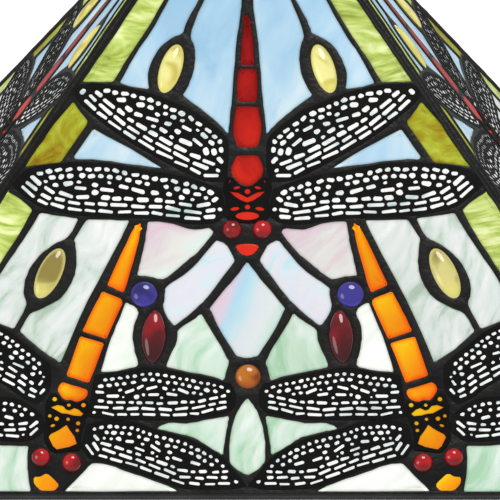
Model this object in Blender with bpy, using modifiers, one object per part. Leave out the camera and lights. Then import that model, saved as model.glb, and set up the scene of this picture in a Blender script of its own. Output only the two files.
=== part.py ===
# Square stained glass table lamp: a leaded glass pyramid shade with dragonflies on a bronze stand.
# Metres, +Z up, origin under the middle of the foot; the front panel faces -Y.
import math

import bmesh
import bpy
from mathutils import Matrix, Vector

# Shade, driving sizes
RIM_HALF = 0.228  # half width at the rim
TOP_HALF = 0.045  # half width of the top opening
SHADE_RISE = 0.235
RIM_HEIGHT = 0.325  # rim above the table
GLASS_THICK = 0.003
LEAD_THICK = 0.0015
WING_THICK = 0.0012  # the dragonflies, soldered over the leads
HIP_REACH = 0.0036  # hip came, from the corner out along each panel
RIM_DEPTH = 0.0041
RIM_WIDTH = 0.0065
RIM_LIP = 0.001  # rim channel, proud of the corner line
LEAD_EDGE = 0.0015  # lead left between a panel's edge and its border glass
HIP_PROUD = 0.0006  # hip came's edge over the panel
HIP_UNDER = 0.001  # and below the glass
HIP_SHOULDER = Vector((0.0018, 0.0010))  # its rounded back, across and out from the corner line
HIP_RIDGE = 0.0016
HIP_START = 0.0075  # along the corner line, clear of the rim
HIP_STOP = 0.0040  # and clear of the cap

# Stand, driving sizes
PAD_THICK = 0.002
PAD_SETBACK = 0.007  # pad, inside the foot's edge
FOOT_HALF = 0.095
FOOT_THICK = 0.018
FOOT_BEVEL = 0.0025
FOOT_WALL = 0.021  # left round the hollow under the foot
RECESS_DEPTH = 0.012
STEP_HALF = 0.066
STEP_THICK = 0.012
COLUMN_HALF = 0.036
COLUMN_TOP_HALF = 0.017
COLUMN_HEIGHT = 0.260
COLUMN_WALL = 0.005
COLUMN_HEAD = 0.010  # solid top of the hollow column
CAPITAL_HALF = 0.030
CAPITAL_THICK = 0.015
CORD_HOLE = 0.0032
BUSHING_RADIUS = 0.005
BUSHING_LENGTH = 0.010
BUSHING_FLANGE = 0.0075
BUSHING_FLANGE_THICK = 0.002
CHANNEL_ROOF = 0.001  # cord channel, below the hollow's ceiling
ROD_RADIUS = 0.0048
ROD_BORE = 0.0032
ROD_TAIL = 0.003  # rod end above the pad
NUT_RADIUS = 0.009
NUT_THICK = 0.005
NECK_RADIUS = 0.008
SCREW_DEPTH = 0.009  # how far a rod screws into the cluster

# Light cluster, driving sizes
CLUSTER_RISE = 0.060  # cluster centre above the rim
CLUSTER_RADIUS = 0.020
CLUSTER_HALF_HEIGHT = 0.016
ARM_RADIUS = 0.007
ARM_TILT = math.radians(15)  # above level
SOCKET_START = 0.024  # from the cluster centre, along the arm
SOCKET_LENGTH = 0.044
SOCKET_RADIUS = 0.017
SOCKET_WALL = 0.0025
BULB_GAP = 0.0015  # between a bulb's base and its socket
BULB_BASE_LENGTH = 0.034
BULB_RADIUS = 0.024
BULB_LENGTH = 0.060
BULB_NECK_STEP = 0.0005  # bulb neck, inside its base
BULB_WALL = 0.001
SOCKET_FLOOR = 0.0035  # thickness of a socket's closed end
BULB_SEAT = 0.002  # a bulb's base above that floor
KEY_STEM = 0.0022
KEY_LENGTH = 0.010
KEY_WIDTH = 0.014
KEY_THICK = 0.003

# Top fittings, driving sizes
SEAT_RADIUS = 0.022
SEAT_THICK = 0.003
CAP_OVERHANG = 0.007  # cap plate, past the top opening
CAP_THICK = 0.003
CAP_RISE = 0.016
FINIAL_RADIUS = 0.012
FINIAL_HEIGHT = 0.040
FINIAL_BORE = 0.012

CLEARANCE = 0.0003  # between pieces that touch
SLACK = 0.0001  # on top of it, where sloping faces meet
CUT_PAST = 0.005  # how far a cutter runs out of its piece
SIDE_NAMES = ("front", "right", "back", "left")

# The pattern is drawn in millimetres on a panel of this size, u across and v up the slope,
# and is stretched onto the real panel. EDGE stands for the panel's own edge.
DRAWN_RIM, DRAWN_TOP, DRAWN_SLOPE = 228.0, 45.0, 297.85
BORDER_TOP, BORDER_RIM = 27.0, 195.0  # inner border line, from the middle
SKY_FOOT = 190.0  # where the sky glass ends behind the red wings
EDGE = -999.0
FIRST_ROW, LAST_ROW = 4.0, 296.0  # the glass sheets, up the slope
LEAD_FOOT = 1.3  # where the leading starts, up the slope

# Glass openings in the left half of the leading
LEFT_OPENINGS = {
    "border_top": [(EDGE, 291), (-32.5, 291), (-44.5, 271), (-61, 240.5), (-69.5, 225), (EDGE, 225)],
    "border_olive": [(-89.8, 213), (-82.3, 203), (-96, 180.3), (EDGE, 177)],
    "border_middle": [(EDGE, 165), (-110.7, 153.5), (-128.8, 120.5), (-142, 97), (EDGE, 106)],
    "border_notch": [(EDGE, 88), (-152, 74), (EDGE, 68)],
    "border_foot": [(-168, 37), (EDGE, 46), (EDGE, 3), (-196, 3)],
    "sky_inner": [
        (-3, 291), (-15, 291), (-27.5, 260), (-29, 245), (-31, 223), (-35, 217), (-20, 206),
        (-9.7, 195.5), (-8, 215), (-5.2, 250),
    ],
    "sky_outer": [
        (-18.5, 291), (-29, 291), (-41, 271.4), (-58, 240.5), (-66, 225), (-50, 220.5), (-50, 230),
        (-43, 244.5), (-32, 251.5), (-26, 271.4),
    ],
    "wing_triangle": [(-79.5, 199.2), (-89.7, 182.8), (-60, 178.3), (-41.5, 175.7)],
    "outer_opal": [
        (-106.5, 152.3), (-86.5, 148.8), (-92.5, 137.5), (-103, 129.5), (-112, 115),
        (-112.7, 101), (-119, 88.5), (-138, 96), (-125.3, 120.5),
    ],
    "inner_opal": [
        (-82, 148.2), (-60, 147.7), (-71, 124), (-95.5, 69.5), (-115.5, 86.5), (-110, 97),
        (-101, 101.5), (-92, 111), (-88, 124), (-89, 136),
    ],
    "pink_opal": [(-51, 147), (-20, 143.5), (-17, 141.5), (-30, 126), (-40.5, 116), (-56.5, 117.3)],
    "petal": [(-42, 110), (-30, 120), (-15.3, 137), (-5.8, 125.5), (-20, 105.5), (-37.5, 89.3)],
    "white_left": [(-61.8, 103), (-54, 97), (-56.7, 84), (-54, 69), (-74.5, 64.8), (-66.5, 90)],
    "quad": [(-36, 87.5), (-23.5, 97), (-8, 70.5), (-10, 59.5), (-41.5, 67.3), (-37, 82)],
    "wedge": [(-10, 41), (-40, 37.5), (-46, 34.5), (-23, 27), (-12, 20)],
    "foot_inner": [(-92, 3), (-80, 14), (-70, 15), (-50, 7.7), (-37, 3)],
    "foot_outer": [(-110.8, 25), (-130, 26), (-163, 35), (-190, 3), (-107.5, 3)],
}
# Left halves of the openings that cross the middle, from top to bottom
MIDDLE_OPENINGS = {
    "kite": [(0, 125), (-12, 109), (-19.7, 99.5), (-15, 90), (-5, 73.3)],
    "teardrop": [(0, 51), (-5, 43), (-8.5, 30), (-8.7, 16), (-4, 11), (0, 9)],
}
# Left half of the upper dragonfly, from the tip of its tail round both wings to its head
RED_DRAGONFLY = [
    (0, 271), (-3.2, 262), (-6.2, 240), (-8, 215), (-9.7, 195.5), (-20, 206), (-35, 216),
    (-60, 222), (EDGE, 225), (EDGE, 214), (-86, 208), (-79.5, 199), (-60, 188), (-41, 175.7),
    (-60, 178.5), (-89, 181.5), (EDGE, 178), (EDGE, 166), (-111, 153.5), (-86, 148.7),
    (-50, 147.5), (-30, 143.3), (-17, 142), (-12.5, 137), (-3, 126), (0, 124),
]
# Whole outline of the lower left dragonfly, down the outer side and back up the inner side
ORANGE_DRAGONFLY = [
    (-53, 146), (-61.5, 146), (-71, 125), (-94.5, 69), (-110, 80.5), (-126, 90), (EDGE, 104),
    (EDGE, 94), (-160, 80), (-118, 57), (-112, 54), (-130, 59), (-160, 67), (EDGE, 64), (EDGE, 50),
    (-160, 36), (-130, 27), (-111, 25.5), (-113, 18), (-110.5, 5), (-108, 2), (-95, 2), (-88, 8),
    (-79, 15), (-60, 11.3), (-34, 2), (-1, 2), (-1, 8), (-8, 14), (-12, 20), (-23, 27), (-33, 31),
    (-47, 34.8), (-25, 38), (-10, 41), (-10, 59), (-41.5, 67), (-54, 68.5), (-75, 64.5),
    (-60, 105), (-52.5, 136),
]

# Name: base colour, roughness, metallic, alpha
FINISHES = {
    "bronze": ((0.16, 0.10, 0.06), 0.45, 1.0, 1.0),
    "brass": ((0.55, 0.40, 0.18), 0.35, 1.0, 1.0),
    "steel": ((0.45, 0.45, 0.46), 0.40, 1.0, 1.0),
    "felt": ((0.05, 0.10, 0.06), 0.95, 0.0, 1.0),
    "black_plastic": ((0.03, 0.03, 0.03), 0.50, 0.0, 1.0),
    "lead": ((0.04, 0.04, 0.045), 0.55, 0.6, 1.0),
    "red_wing": ((0.55, 0.04, 0.03), 0.45, 0.3, 1.0),
    "orange_wing": ((0.80, 0.35, 0.03), 0.45, 0.3, 1.0),
    "sky_glass": ((0.62, 0.76, 0.84), 0.15, 0.0, 0.8),
    "opal_glass": ((0.80, 0.88, 0.80), 0.15, 0.0, 0.8),
    "green_glass": ((0.55, 0.68, 0.20), 0.15, 0.0, 0.8),
    "bulb_glass": ((0.95, 0.95, 0.92), 0.10, 0.0, 0.5),
}


def clear_scene():
    for obj in list(bpy.data.objects):
        bpy.data.objects.remove(obj, do_unlink=True)


def collection(name):
    group = bpy.data.collections.new(name)
    bpy.context.scene.collection.children.link(group)
    return group


def material(name):
    colour, roughness, metallic, alpha = FINISHES[name]
    made = bpy.data.materials.get(name) or bpy.data.materials.new(name)
    made.use_nodes = True
    shader = made.node_tree.nodes["Principled BSDF"]
    shader.inputs["Base Color"].default_value = (*colour, 1.0)
    shader.inputs["Roughness"].default_value = roughness
    shader.inputs["Metallic"].default_value = metallic
    shader.inputs["Alpha"].default_value = alpha
    return made


def place(obj, group, finish=None, parent=None, at=(0, 0, 0), turn=(0, 0, 0)):
    group.objects.link(obj)
    obj.parent = parent
    obj.location = at
    obj.rotation_euler = turn
    if finish:
        obj.data.materials.append(material(finish))
    return obj


def anchor(name, at, turn=(0, 0, 0), parent=None):
    empty = bpy.data.objects.new(name, None)
    return place(empty, parts, parent=parent, at=at, turn=turn)


def turned(name, profile, finish, steps=32, closed=False, group=None, **where):
    """A shape turned about local Z. The profile runs down its outer side."""
    mesh = bpy.data.meshes.new(name)
    edges = [(i, i + 1) for i in range(len(profile) - 1)]
    if closed:
        edges.append((len(profile) - 1, 0))
    mesh.from_pydata([(radius, 0, height) for radius, height in profile], edges, [])
    obj = place(bpy.data.objects.new(name, mesh), group or parts, finish, **where)
    screw = obj.modifiers.new("turn", "SCREW")
    screw.steps = screw.render_steps = steps
    screw.use_merge_vertices = True
    screw.merge_threshold = 0.00001
    screw.use_smooth_shade = steps > 8
    return obj


def square_turned(name, profile, finish, at):
    """A four-sided moulding: the profile gives half widths and heights."""
    corners = [(half * math.sqrt(2), height) for half, height in profile]
    return turned(name, corners, finish, steps=4, at=at, turn=(0, 0, math.pi / 4))


def plate(name, outline, low, high, finish, parent=None, holes=(), at=(0, 0, 0)):
    """A flat piece between two levels of local Z, with its holes."""
    curve = bpy.data.curves.new(name, "CURVE")
    curve.dimensions = "2D"
    curve.fill_mode = "BOTH"
    curve.extrude = (high - low) / 2
    for loop in (outline, *holes):
        spline = curve.splines.new("POLY")
        spline.points.add(len(loop) - 1)
        spline.use_cyclic_u = True
        for point, (across, along) in zip(spline.points, loop):
            point.co = (across, along, 0, 1)
    middle = Vector(at) + Vector((0, 0, (low + high) / 2))
    return place(bpy.data.objects.new(name, curve), parts, finish, parent, at=middle)


def cylinder(name, radius, low, high, group, parent=None, at=(0, 0, 0), turn=(0, 0, 0), sides=24):
    mesh = bpy.data.meshes.new(name)
    shape = bmesh.new()
    bmesh.ops.create_cone(
        shape,
        cap_ends=True,
        segments=sides,
        radius1=radius,
        radius2=radius,
        depth=high - low,
        matrix=Matrix.Translation((0, 0, (low + high) / 2)),
    )
    shape.to_mesh(mesh)
    shape.free()
    return place(bpy.data.objects.new(name, mesh), group, parent=parent, at=at, turn=turn)


def block(name, low, high, group, parent=None):
    mesh = bpy.data.meshes.new(name)
    shape = bmesh.new()
    size = Vector(high) - Vector(low)
    middle = (Vector(high) + Vector(low)) / 2
    bmesh.ops.create_cube(shape, matrix=Matrix.LocRotScale(middle, None, size))
    shape.to_mesh(mesh)
    shape.free()
    return place(bpy.data.objects.new(name, mesh), group, parent=parent)


def boolean(obj, other, operation):
    other.hide_render = True
    other.display_type = "WIRE"
    modifier = obj.modifiers.new(other.name, "BOOLEAN")
    modifier.operation = operation
    modifier.object = other


def drill(obj, radius, low, high):
    """A round hole along the lamp's axis, between two heights."""
    boolean(obj, cylinder(f"{obj.name}_hole", radius, low, high, cutters), "DIFFERENCE")


# Sizes that follow from the driving ones
PAD_HALF = FOOT_HALF - PAD_SETBACK
RECESS_RADIUS = FOOT_HALF - FOOT_WALL
BULB_BASE_RADIUS = SOCKET_RADIUS - SOCKET_WALL - BULB_GAP
BULB_NECK = BULB_BASE_RADIUS - BULB_NECK_STEP
SLOPE = math.hypot(RIM_HALF - TOP_HALF, SHADE_RISE)
PITCH = math.atan2(SHADE_RISE, RIM_HALF - TOP_HALF)
HIP_LEAN = math.cos(math.atan((RIM_HALF - TOP_HALF) / SLOPE))
PANEL_INSET = (HIP_REACH + CLEARANCE + SLACK) / HIP_LEAN  # panel edge, across from the corner
SHADE_TOP = RIM_HEIGHT + SHADE_RISE
HOLE_RADIUS = ROD_RADIUS + CLEARANCE
FOOT_BOTTOM = PAD_THICK + CLEARANCE
FOOT_TOP = FOOT_BOTTOM + FOOT_THICK
STEP_BOTTOM = FOOT_TOP + CLEARANCE
COLUMN_BOTTOM = STEP_BOTTOM + STEP_THICK + CLEARANCE
CAPITAL_BOTTOM = COLUMN_BOTTOM + COLUMN_HEIGHT + CLEARANCE
NECK_BOTTOM = CAPITAL_BOTTOM + CAPITAL_THICK + CLEARANCE
CLUSTER_HEIGHT = RIM_HEIGHT + CLUSTER_RISE
CLUSTER_BOTTOM = CLUSTER_HEIGHT - CLUSTER_HALF_HEIGHT
CLUSTER_TOP = CLUSTER_HEIGHT + CLUSTER_HALF_HEIGHT
CAP_BOTTOM = SHADE_TOP + CLEARANCE + SLACK
CAP_TOP = CAP_BOTTOM + CAP_RISE
FINIAL_BOTTOM = CAP_TOP + CLEARANCE


def panel_half(v):
    """Half width of the real panel at a drawn height."""
    return RIM_HALF + (TOP_HALF - RIM_HALF) * v / DRAWN_SLOPE


def on_panel(u, v, inset):
    """A drawn point on the real panel, kept this far inside its edges."""
    drawn_half = DRAWN_RIM + (DRAWN_TOP - DRAWN_RIM) * v / DRAWN_SLOPE
    reach = panel_half(v) - inset
    across = u / drawn_half * panel_half(v)
    return max(-reach, min(reach, across)), v / DRAWN_SLOPE * SLOPE


def drawn(outline, inset=PANEL_INSET):
    return [on_panel(u, v, inset) for u, v in outline]


def mirrored(outline):
    return [(-u, v) for u, v in outline]


def both_halves(half):
    """A whole outline from its left half, which runs from the middle to the middle."""
    right = [(-u, v) for u, v in reversed(half) if u != 0]
    return half + right


def border_line(v):
    return BORDER_RIM + (BORDER_TOP - BORDER_RIM) * v / DRAWN_SLOPE


def leading_openings():
    inset = PANEL_INSET + LEAD_EDGE
    loops = []
    for outline in LEFT_OPENINGS.values():
        loops += [drawn(outline, inset), drawn(mirrored(outline), inset)]
    for half in MIDDLE_OPENINGS.values():
        loops.append(drawn(both_halves(half), inset))
    return loops


def glass_sheets():
    """The flat glass behind the leads: two borders, the sky and the field."""
    split = 0.25  # half the gap between sheets, in drawn millimetres
    low, high = FIRST_ROW, LAST_ROW
    border = [
        (EDGE, low), (EDGE, high), (-border_line(high) - split, high), (-border_line(low) - split, low)
    ]
    sky = [
        (-border_line(high) + split, high),
        (border_line(high) - split, high),
        (border_line(SKY_FOOT) - split, SKY_FOOT + split),
        (-border_line(SKY_FOOT) + split, SKY_FOOT + split),
    ]
    field = [
        (-border_line(SKY_FOOT) + split, SKY_FOOT - split),
        (border_line(SKY_FOOT) - split, SKY_FOOT - split),
        (border_line(low) - split, low),
        (-border_line(low) + split, low),
    ]
    return (
        ("left_border_glass", border, "green_glass"),
        ("right_border_glass", mirrored(border), "green_glass"),
        ("sky_glass", sky, "sky_glass"),
        ("field_glass", field, "opal_glass"),
    )


def make_panel(side, axis):
    """One leaded side of the shade, built flat on its own sloping plane."""
    quarter = anchor(f"{SIDE_NAMES[side]}_quarter", (0, 0, 0), (0, 0, side * math.pi / 2), axis)
    plane = anchor(f"{SIDE_NAMES[side]}_plane", (0, -RIM_HALF, RIM_HEIGHT), (PITCH, 0, 0), quarter)
    name = SIDE_NAMES[side]
    edge = [(EDGE, LEAD_FOOT), (EDGE, LAST_ROW), (-EDGE, LAST_ROW), (-EDGE, LEAD_FOOT)]
    plate(f"{name}_leading", drawn(edge), -LEAD_THICK, 0, "lead", plane, leading_openings())
    glass_top = -LEAD_THICK - CLEARANCE
    for glass, outline, finish in glass_sheets():
        plate(f"{name}_{glass}", drawn(outline), glass_top - GLASS_THICK, glass_top, finish, plane)
    low, high = CLEARANCE, CLEARANCE + WING_THICK
    red = both_halves(RED_DRAGONFLY)
    plate(f"{name}_red_dragonfly", drawn(red), low, high, "red_wing", plane)
    for hand, outline in (("left", ORANGE_DRAGONFLY), ("right", mirrored(ORANGE_DRAGONFLY))):
        plate(f"{name}_{hand}_orange_dragonfly", drawn(outline), low, high, "orange_wing", plane)


def make_hip(side, axis):
    """The came down the corner that this side shares with the next one."""
    name = f"{SIDE_NAMES[side]}_{SIDE_NAMES[(side + 1) % 4]}_hip_came"
    quarter = anchor(f"{name}_quarter", (0, 0, 0), (0, 0, side * math.pi / 2), axis)
    foot = Vector((RIM_HALF, -RIM_HALF, RIM_HEIGHT))
    along = Vector((TOP_HALF - RIM_HALF, RIM_HALF - TOP_HALF, SHADE_RISE))
    length = along.length
    along.normalize()
    normal = Vector((0, -math.sin(PITCH), math.cos(PITCH)))
    out = (normal + Vector((math.sin(PITCH), 0, math.cos(PITCH)))).normalized()
    across = out.cross(along).normalized()
    half_turn = normal.angle(out)
    slide = Vector((math.cos(half_turn), -math.sin(half_turn)))  # along a panel, away from the corner
    face = Vector((math.sin(half_turn), math.cos(half_turn)))  # out of that panel
    outer = slide * HIP_REACH + face * HIP_PROUD
    inner = slide * HIP_REACH - face * (GLASS_THICK + HIP_UNDER)
    half = [HIP_SHOULDER, outer, inner]
    section = [tuple(p) for p in half] + [(-p.x, p.y) for p in reversed(half)] + [(0, HIP_RIDGE)]
    end = length - HIP_STOP
    bar = plate(name, section, HIP_START, end, "lead", quarter)
    turn = Matrix((across, out, along)).transposed()
    middle = foot + along * (HIP_START + end) / 2
    bar.matrix_local = Matrix.Translation(middle) @ turn.to_4x4()


def make_shade():
    axis = anchor("shade_axis", (0, 0, 0))
    for side in range(4):
        make_panel(side, axis)
        make_hip(side, axis)
    outer = RIM_HALF + RIM_LIP
    inner = outer - RIM_WIDTH
    square = [(-1, -1), (1, -1), (1, 1), (-1, 1)]
    plate(
        "rim_channel",
        [(x * outer, y * outer) for x, y in square],
        RIM_HEIGHT - CLEARANCE - SLACK - RIM_DEPTH,
        RIM_HEIGHT - CLEARANCE - SLACK,
        "lead",
        axis,
        [[(x * inner, y * inner) for x, y in square]],
    )
    plate_half = TOP_HALF + CAP_OVERHANG
    shoulder = plate_half * 0.72
    profile = [
        (0, CAP_RISE), (0.014, CAP_RISE), (0.018, CAP_RISE - 0.004), (shoulder, CAP_THICK + 0.001),
        (plate_half - 0.001, CAP_THICK), (plate_half, 0), (0, 0),
    ]
    cap = square_turned("vase_cap", profile, "bronze", at=(0, 0, CAP_BOTTOM))
    cap.parent = axis
    drill(cap, HOLE_RADIUS, CAP_BOTTOM - CUT_PAST, CAP_TOP + CUT_PAST)


def make_foot():
    """The foot on its pad, with the hollow under it, the cord channel and its bushing."""
    pad = [(x * PAD_HALF, y * PAD_HALF) for x, y in ((-1, -1), (1, -1), (1, 1), (-1, 1))]
    plate("base_pad", pad, 0, PAD_THICK, "felt")

    foot = block(
        "foot_plate", (-FOOT_HALF, -FOOT_HALF, FOOT_BOTTOM), (FOOT_HALF, FOOT_HALF, FOOT_TOP), parts
    )
    foot.data.materials.append(material("bronze"))
    bevel = foot.modifiers.new("edges", "BEVEL")
    bevel.width = FOOT_BEVEL
    bevel.segments = 2
    channel_height = FOOT_BOTTOM + RECESS_DEPTH - BUSHING_RADIUS - CHANNEL_ROOF
    drill(foot, RECESS_RADIUS, FOOT_BOTTOM - CUT_PAST, FOOT_BOTTOM + RECESS_DEPTH)
    backwards = (-math.pi / 2, 0, 0)
    channel = cylinder(
        "cord_channel", BUSHING_RADIUS + CLEARANCE, 0, FOOT_HALF + CUT_PAST, cutters,
        at=(0, 0, channel_height), turn=backwards,
    )
    boolean(foot, channel, "DIFFERENCE")
    rod_cutter = cylinder("rod_cutter", HOLE_RADIUS, 0, FOOT_TOP + CUT_PAST, cutters)
    boolean(foot, rod_cutter, "DIFFERENCE")
    ring = [
        (BUSHING_FLANGE, BUSHING_FLANGE_THICK), (BUSHING_FLANGE, 0), (BUSHING_RADIUS, 0),
        (BUSHING_RADIUS, -BUSHING_LENGTH), (CORD_HOLE, -BUSHING_LENGTH), (CORD_HOLE, BUSHING_FLANGE_THICK),
    ]
    turned(
        "cord_bushing", ring, "black_plastic", steps=16, closed=True,
        at=(0, FOOT_HALF + CLEARANCE, channel_height), turn=backwards,
    )


def make_column():
    """The moulded step, the hollow tapered column and its capital, threaded on the rod."""
    step = square_turned(
        "foot_step",
        [
            (0, STEP_THICK), (COLUMN_HALF + 0.006, STEP_THICK), (COLUMN_HALF + 0.008, STEP_THICK * 0.6),
            (STEP_HALF - 0.004, STEP_THICK * 0.45), (STEP_HALF, STEP_THICK * 0.3), (STEP_HALF, 0), (0, 0),
        ],
        "bronze",
        at=(0, 0, STEP_BOTTOM),
    )
    column = square_turned(
        "column",
        [
            (0, COLUMN_HEIGHT), (COLUMN_TOP_HALF + 0.002, COLUMN_HEIGHT),
            (COLUMN_TOP_HALF + 0.002, COLUMN_HEIGHT - 0.006), (COLUMN_TOP_HALF, COLUMN_HEIGHT - 0.009),
            (COLUMN_HALF - 0.008, 0.040), (COLUMN_HALF - 0.005, 0.022), (COLUMN_HALF, 0.012),
            (COLUMN_HALF, 0), (COLUMN_HALF - COLUMN_WALL, 0), (COLUMN_HALF - COLUMN_WALL, 0.010),
            (COLUMN_HALF - COLUMN_WALL - 0.008, 0.040),
            (COLUMN_TOP_HALF - COLUMN_WALL, COLUMN_HEIGHT - COLUMN_HEAD), (0, COLUMN_HEIGHT - COLUMN_HEAD),
        ],
        "bronze",
        at=(0, 0, COLUMN_BOTTOM),
    )
    capital = square_turned(
        "column_capital",
        [
            (0, CAPITAL_THICK), (CAPITAL_HALF - 0.002, CAPITAL_THICK), (CAPITAL_HALF, CAPITAL_THICK - 0.003),
            (CAPITAL_HALF, CAPITAL_THICK - 0.006), (COLUMN_TOP_HALF + 0.003, 0.003),
            (COLUMN_TOP_HALF + 0.003, 0), (0, 0),
        ],
        "bronze",
        at=(0, 0, CAPITAL_BOTTOM),
    )
    for piece in (step, column, capital):
        drill(piece, HOLE_RADIUS, STEP_BOTTOM - CUT_PAST, NECK_BOTTOM + CUT_PAST)


def make_rod():
    """The threaded pipe through the stand, the tube round its upper end and its nut under the foot."""
    neck_top = CLUSTER_BOTTOM - CLEARANCE
    tube = [
        (NECK_RADIUS, neck_top), (NECK_RADIUS, NECK_BOTTOM), (HOLE_RADIUS, NECK_BOTTOM),
        (HOLE_RADIUS, neck_top),
    ]
    turned("neck_tube", tube, "brass", steps=24, closed=True)
    rod_top = CLUSTER_BOTTOM + SCREW_DEPTH - CLEARANCE
    rod_bottom = PAD_THICK + ROD_TAIL
    rod = [(ROD_RADIUS, rod_top), (ROD_RADIUS, rod_bottom), (ROD_BORE, rod_bottom), (ROD_BORE, rod_top)]
    turned("centre_rod", rod, "steel", steps=24, closed=True)
    make_nut("rod_nut", FOOT_BOTTOM + RECESS_DEPTH - CLEARANCE)


def make_nut(name, top):
    nut = cylinder(name, NUT_RADIUS, top - NUT_THICK, top, parts, sides=6)
    nut.data.materials.append(material("brass"))
    drill(nut, HOLE_RADIUS, top - NUT_THICK - CUT_PAST, top + CUT_PAST)


def make_cluster():
    rim = CLUSTER_RADIUS
    half = CLUSTER_HALF_HEIGHT
    profile = [
        (0, half), (rim * 0.55, half), (rim * 0.9, half * 0.6), (rim, half * 0.25),
        (rim, -half * 0.25), (rim * 0.9, -half * 0.6), (rim * 0.55, -half), (0, -half),
    ]
    hub = turned("cluster_body", profile, "brass", steps=24, at=(0, 0, CLUSTER_HEIGHT))
    for hand, sign in (("left", -1), ("right", 1)):
        arm = anchor(f"{hand}_arm", (0, 0, CLUSTER_HEIGHT), (0, sign * (math.pi / 2 - ARM_TILT), 0))
        make_light(hand, hub, arm)
    drill(hub, HOLE_RADIUS, CLUSTER_BOTTOM - CUT_PAST, CLUSTER_BOTTOM + SCREW_DEPTH)
    upper = cylinder(
        "riser_hole", HOLE_RADIUS, CLUSTER_TOP - SCREW_DEPTH, CLUSTER_TOP + CUT_PAST, cutters
    )
    boolean(hub, upper, "DIFFERENCE")


def make_light(hand, hub, arm):
    """A socket, its switch key and its bulb on one arm; local Z runs out along the arm."""
    pipe = cylinder(
        f"{hand}_arm_pipe", ARM_RADIUS, CLUSTER_RADIUS * 0.5, SOCKET_START - CLEARANCE, cutters, arm
    )
    boolean(hub, pipe, "UNION")

    mouth = SOCKET_START + SOCKET_LENGTH
    bore = SOCKET_RADIUS - SOCKET_WALL
    floor = SOCKET_START + SOCKET_FLOOR
    shell = [
        (0, floor), (bore, floor), (bore, mouth), (SOCKET_RADIUS, mouth),
        (SOCKET_RADIUS, SOCKET_START + 0.008), (SOCKET_RADIUS * 0.7, SOCKET_START), (0, SOCKET_START),
    ]
    turned(f"{hand}_socket_shell", shell, "brass", steps=24, parent=arm)

    base_start = floor + BULB_SEAT
    base_end = base_start + BULB_BASE_LENGTH
    base = [
        (0, base_end), (BULB_BASE_RADIUS, base_end), (BULB_BASE_RADIUS, base_start + 0.005),
        (BULB_BASE_RADIUS * 0.5, base_start), (0, base_start),
    ]
    turned(f"{hand}_bulb_base", base, "steel", steps=24, parent=arm)

    neck = base_end + CLEARANCE
    turned(f"{hand}_bulb_glass", bulb_profile(neck), "bulb_glass", steps=20, parent=arm)

    stem_start = SOCKET_RADIUS + CLEARANCE
    pivot = anchor(f"{hand}_key_pivot", (0, 0, SOCKET_START + SOCKET_LENGTH * 0.45), parent=arm)
    pivot.rotation_euler = (math.pi / 2, 0, 0)
    key = cylinder(
        f"{hand}_socket_key", KEY_STEM, stem_start, stem_start + KEY_LENGTH, parts, pivot, sides=16
    )
    key.data.materials.append(material("black_plastic"))
    paddle = block(
        f"{hand}_key_paddle",
        (-KEY_WIDTH / 2, -KEY_THICK / 2, stem_start + KEY_LENGTH * 0.4),
        (KEY_WIDTH / 2, KEY_THICK / 2, stem_start + KEY_LENGTH * 1.3),
        cutters,
        pivot,
    )
    boolean(key, paddle, "UNION")


def bulb_profile(neck):
    """A round bulb: a ball that runs into a straight neck, open at the neck, with a thin wall."""
    centre = neck + BULB_LENGTH - BULB_RADIUS
    steps = 7
    lowest = math.radians(-42)
    outer = []
    inner = []
    for i in range(steps + 1):
        angle = math.pi / 2 + (lowest - math.pi / 2) * i / steps
        across = 0 if i == 0 else math.cos(angle)
        outer.append((BULB_RADIUS * across, centre + BULB_RADIUS * math.sin(angle)))
        thin = BULB_RADIUS - BULB_WALL
        inner.append((thin * across, centre + thin * math.sin(angle)))
    outer.append((BULB_NECK, neck))
    inner.append((BULB_NECK - BULB_WALL, neck))
    return outer + inner[::-1]


def make_top():
    """The riser with what clamps the shade on it."""
    riser_top = FINIAL_BOTTOM + FINIAL_BORE - CLEARANCE
    riser = cylinder("riser", ROD_RADIUS, CLUSTER_TOP - SCREW_DEPTH + CLEARANCE, riser_top, parts)
    riser.data.materials.append(material("brass"))
    seat_top = CAP_BOTTOM - CLEARANCE
    seat_bottom = seat_top - SEAT_THICK
    ring = [
        (SEAT_RADIUS, seat_top), (SEAT_RADIUS, seat_bottom), (HOLE_RADIUS, seat_bottom),
        (HOLE_RADIUS, seat_top),
    ]
    turned("seat_ring", ring, "brass", steps=24, closed=True)
    make_nut("lock_nut", seat_bottom - CLEARANCE)

    knob = FINIAL_RADIUS
    height = FINIAL_HEIGHT
    profile = [
        (0, height), (knob * 0.22, height * 0.97), (knob * 0.3, height * 0.86), (knob * 0.62, height * 0.78),
        (knob * 0.98, height * 0.64), (knob * 0.98, height * 0.52), (knob * 0.6, height * 0.40),
        (knob * 0.62, height * 0.30), (knob * 0.85, height * 0.18), (knob * 0.9, 0), (HOLE_RADIUS, 0),
        (HOLE_RADIUS, FINIAL_BORE), (0, FINIAL_BORE),
    ]
    turned("finial", profile, "bronze", steps=24, at=(0, 0, FINIAL_BOTTOM))


clear_scene()
parts = collection("stained_glass_lamp")
cutters = collection("cutters")
make_foot()
make_column()
make_rod()
make_cluster()
make_top()
make_shade()
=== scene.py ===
import math
import random

import bmesh
import bpy
import numpy
from mathutils import Matrix, Vector, geometry


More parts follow.
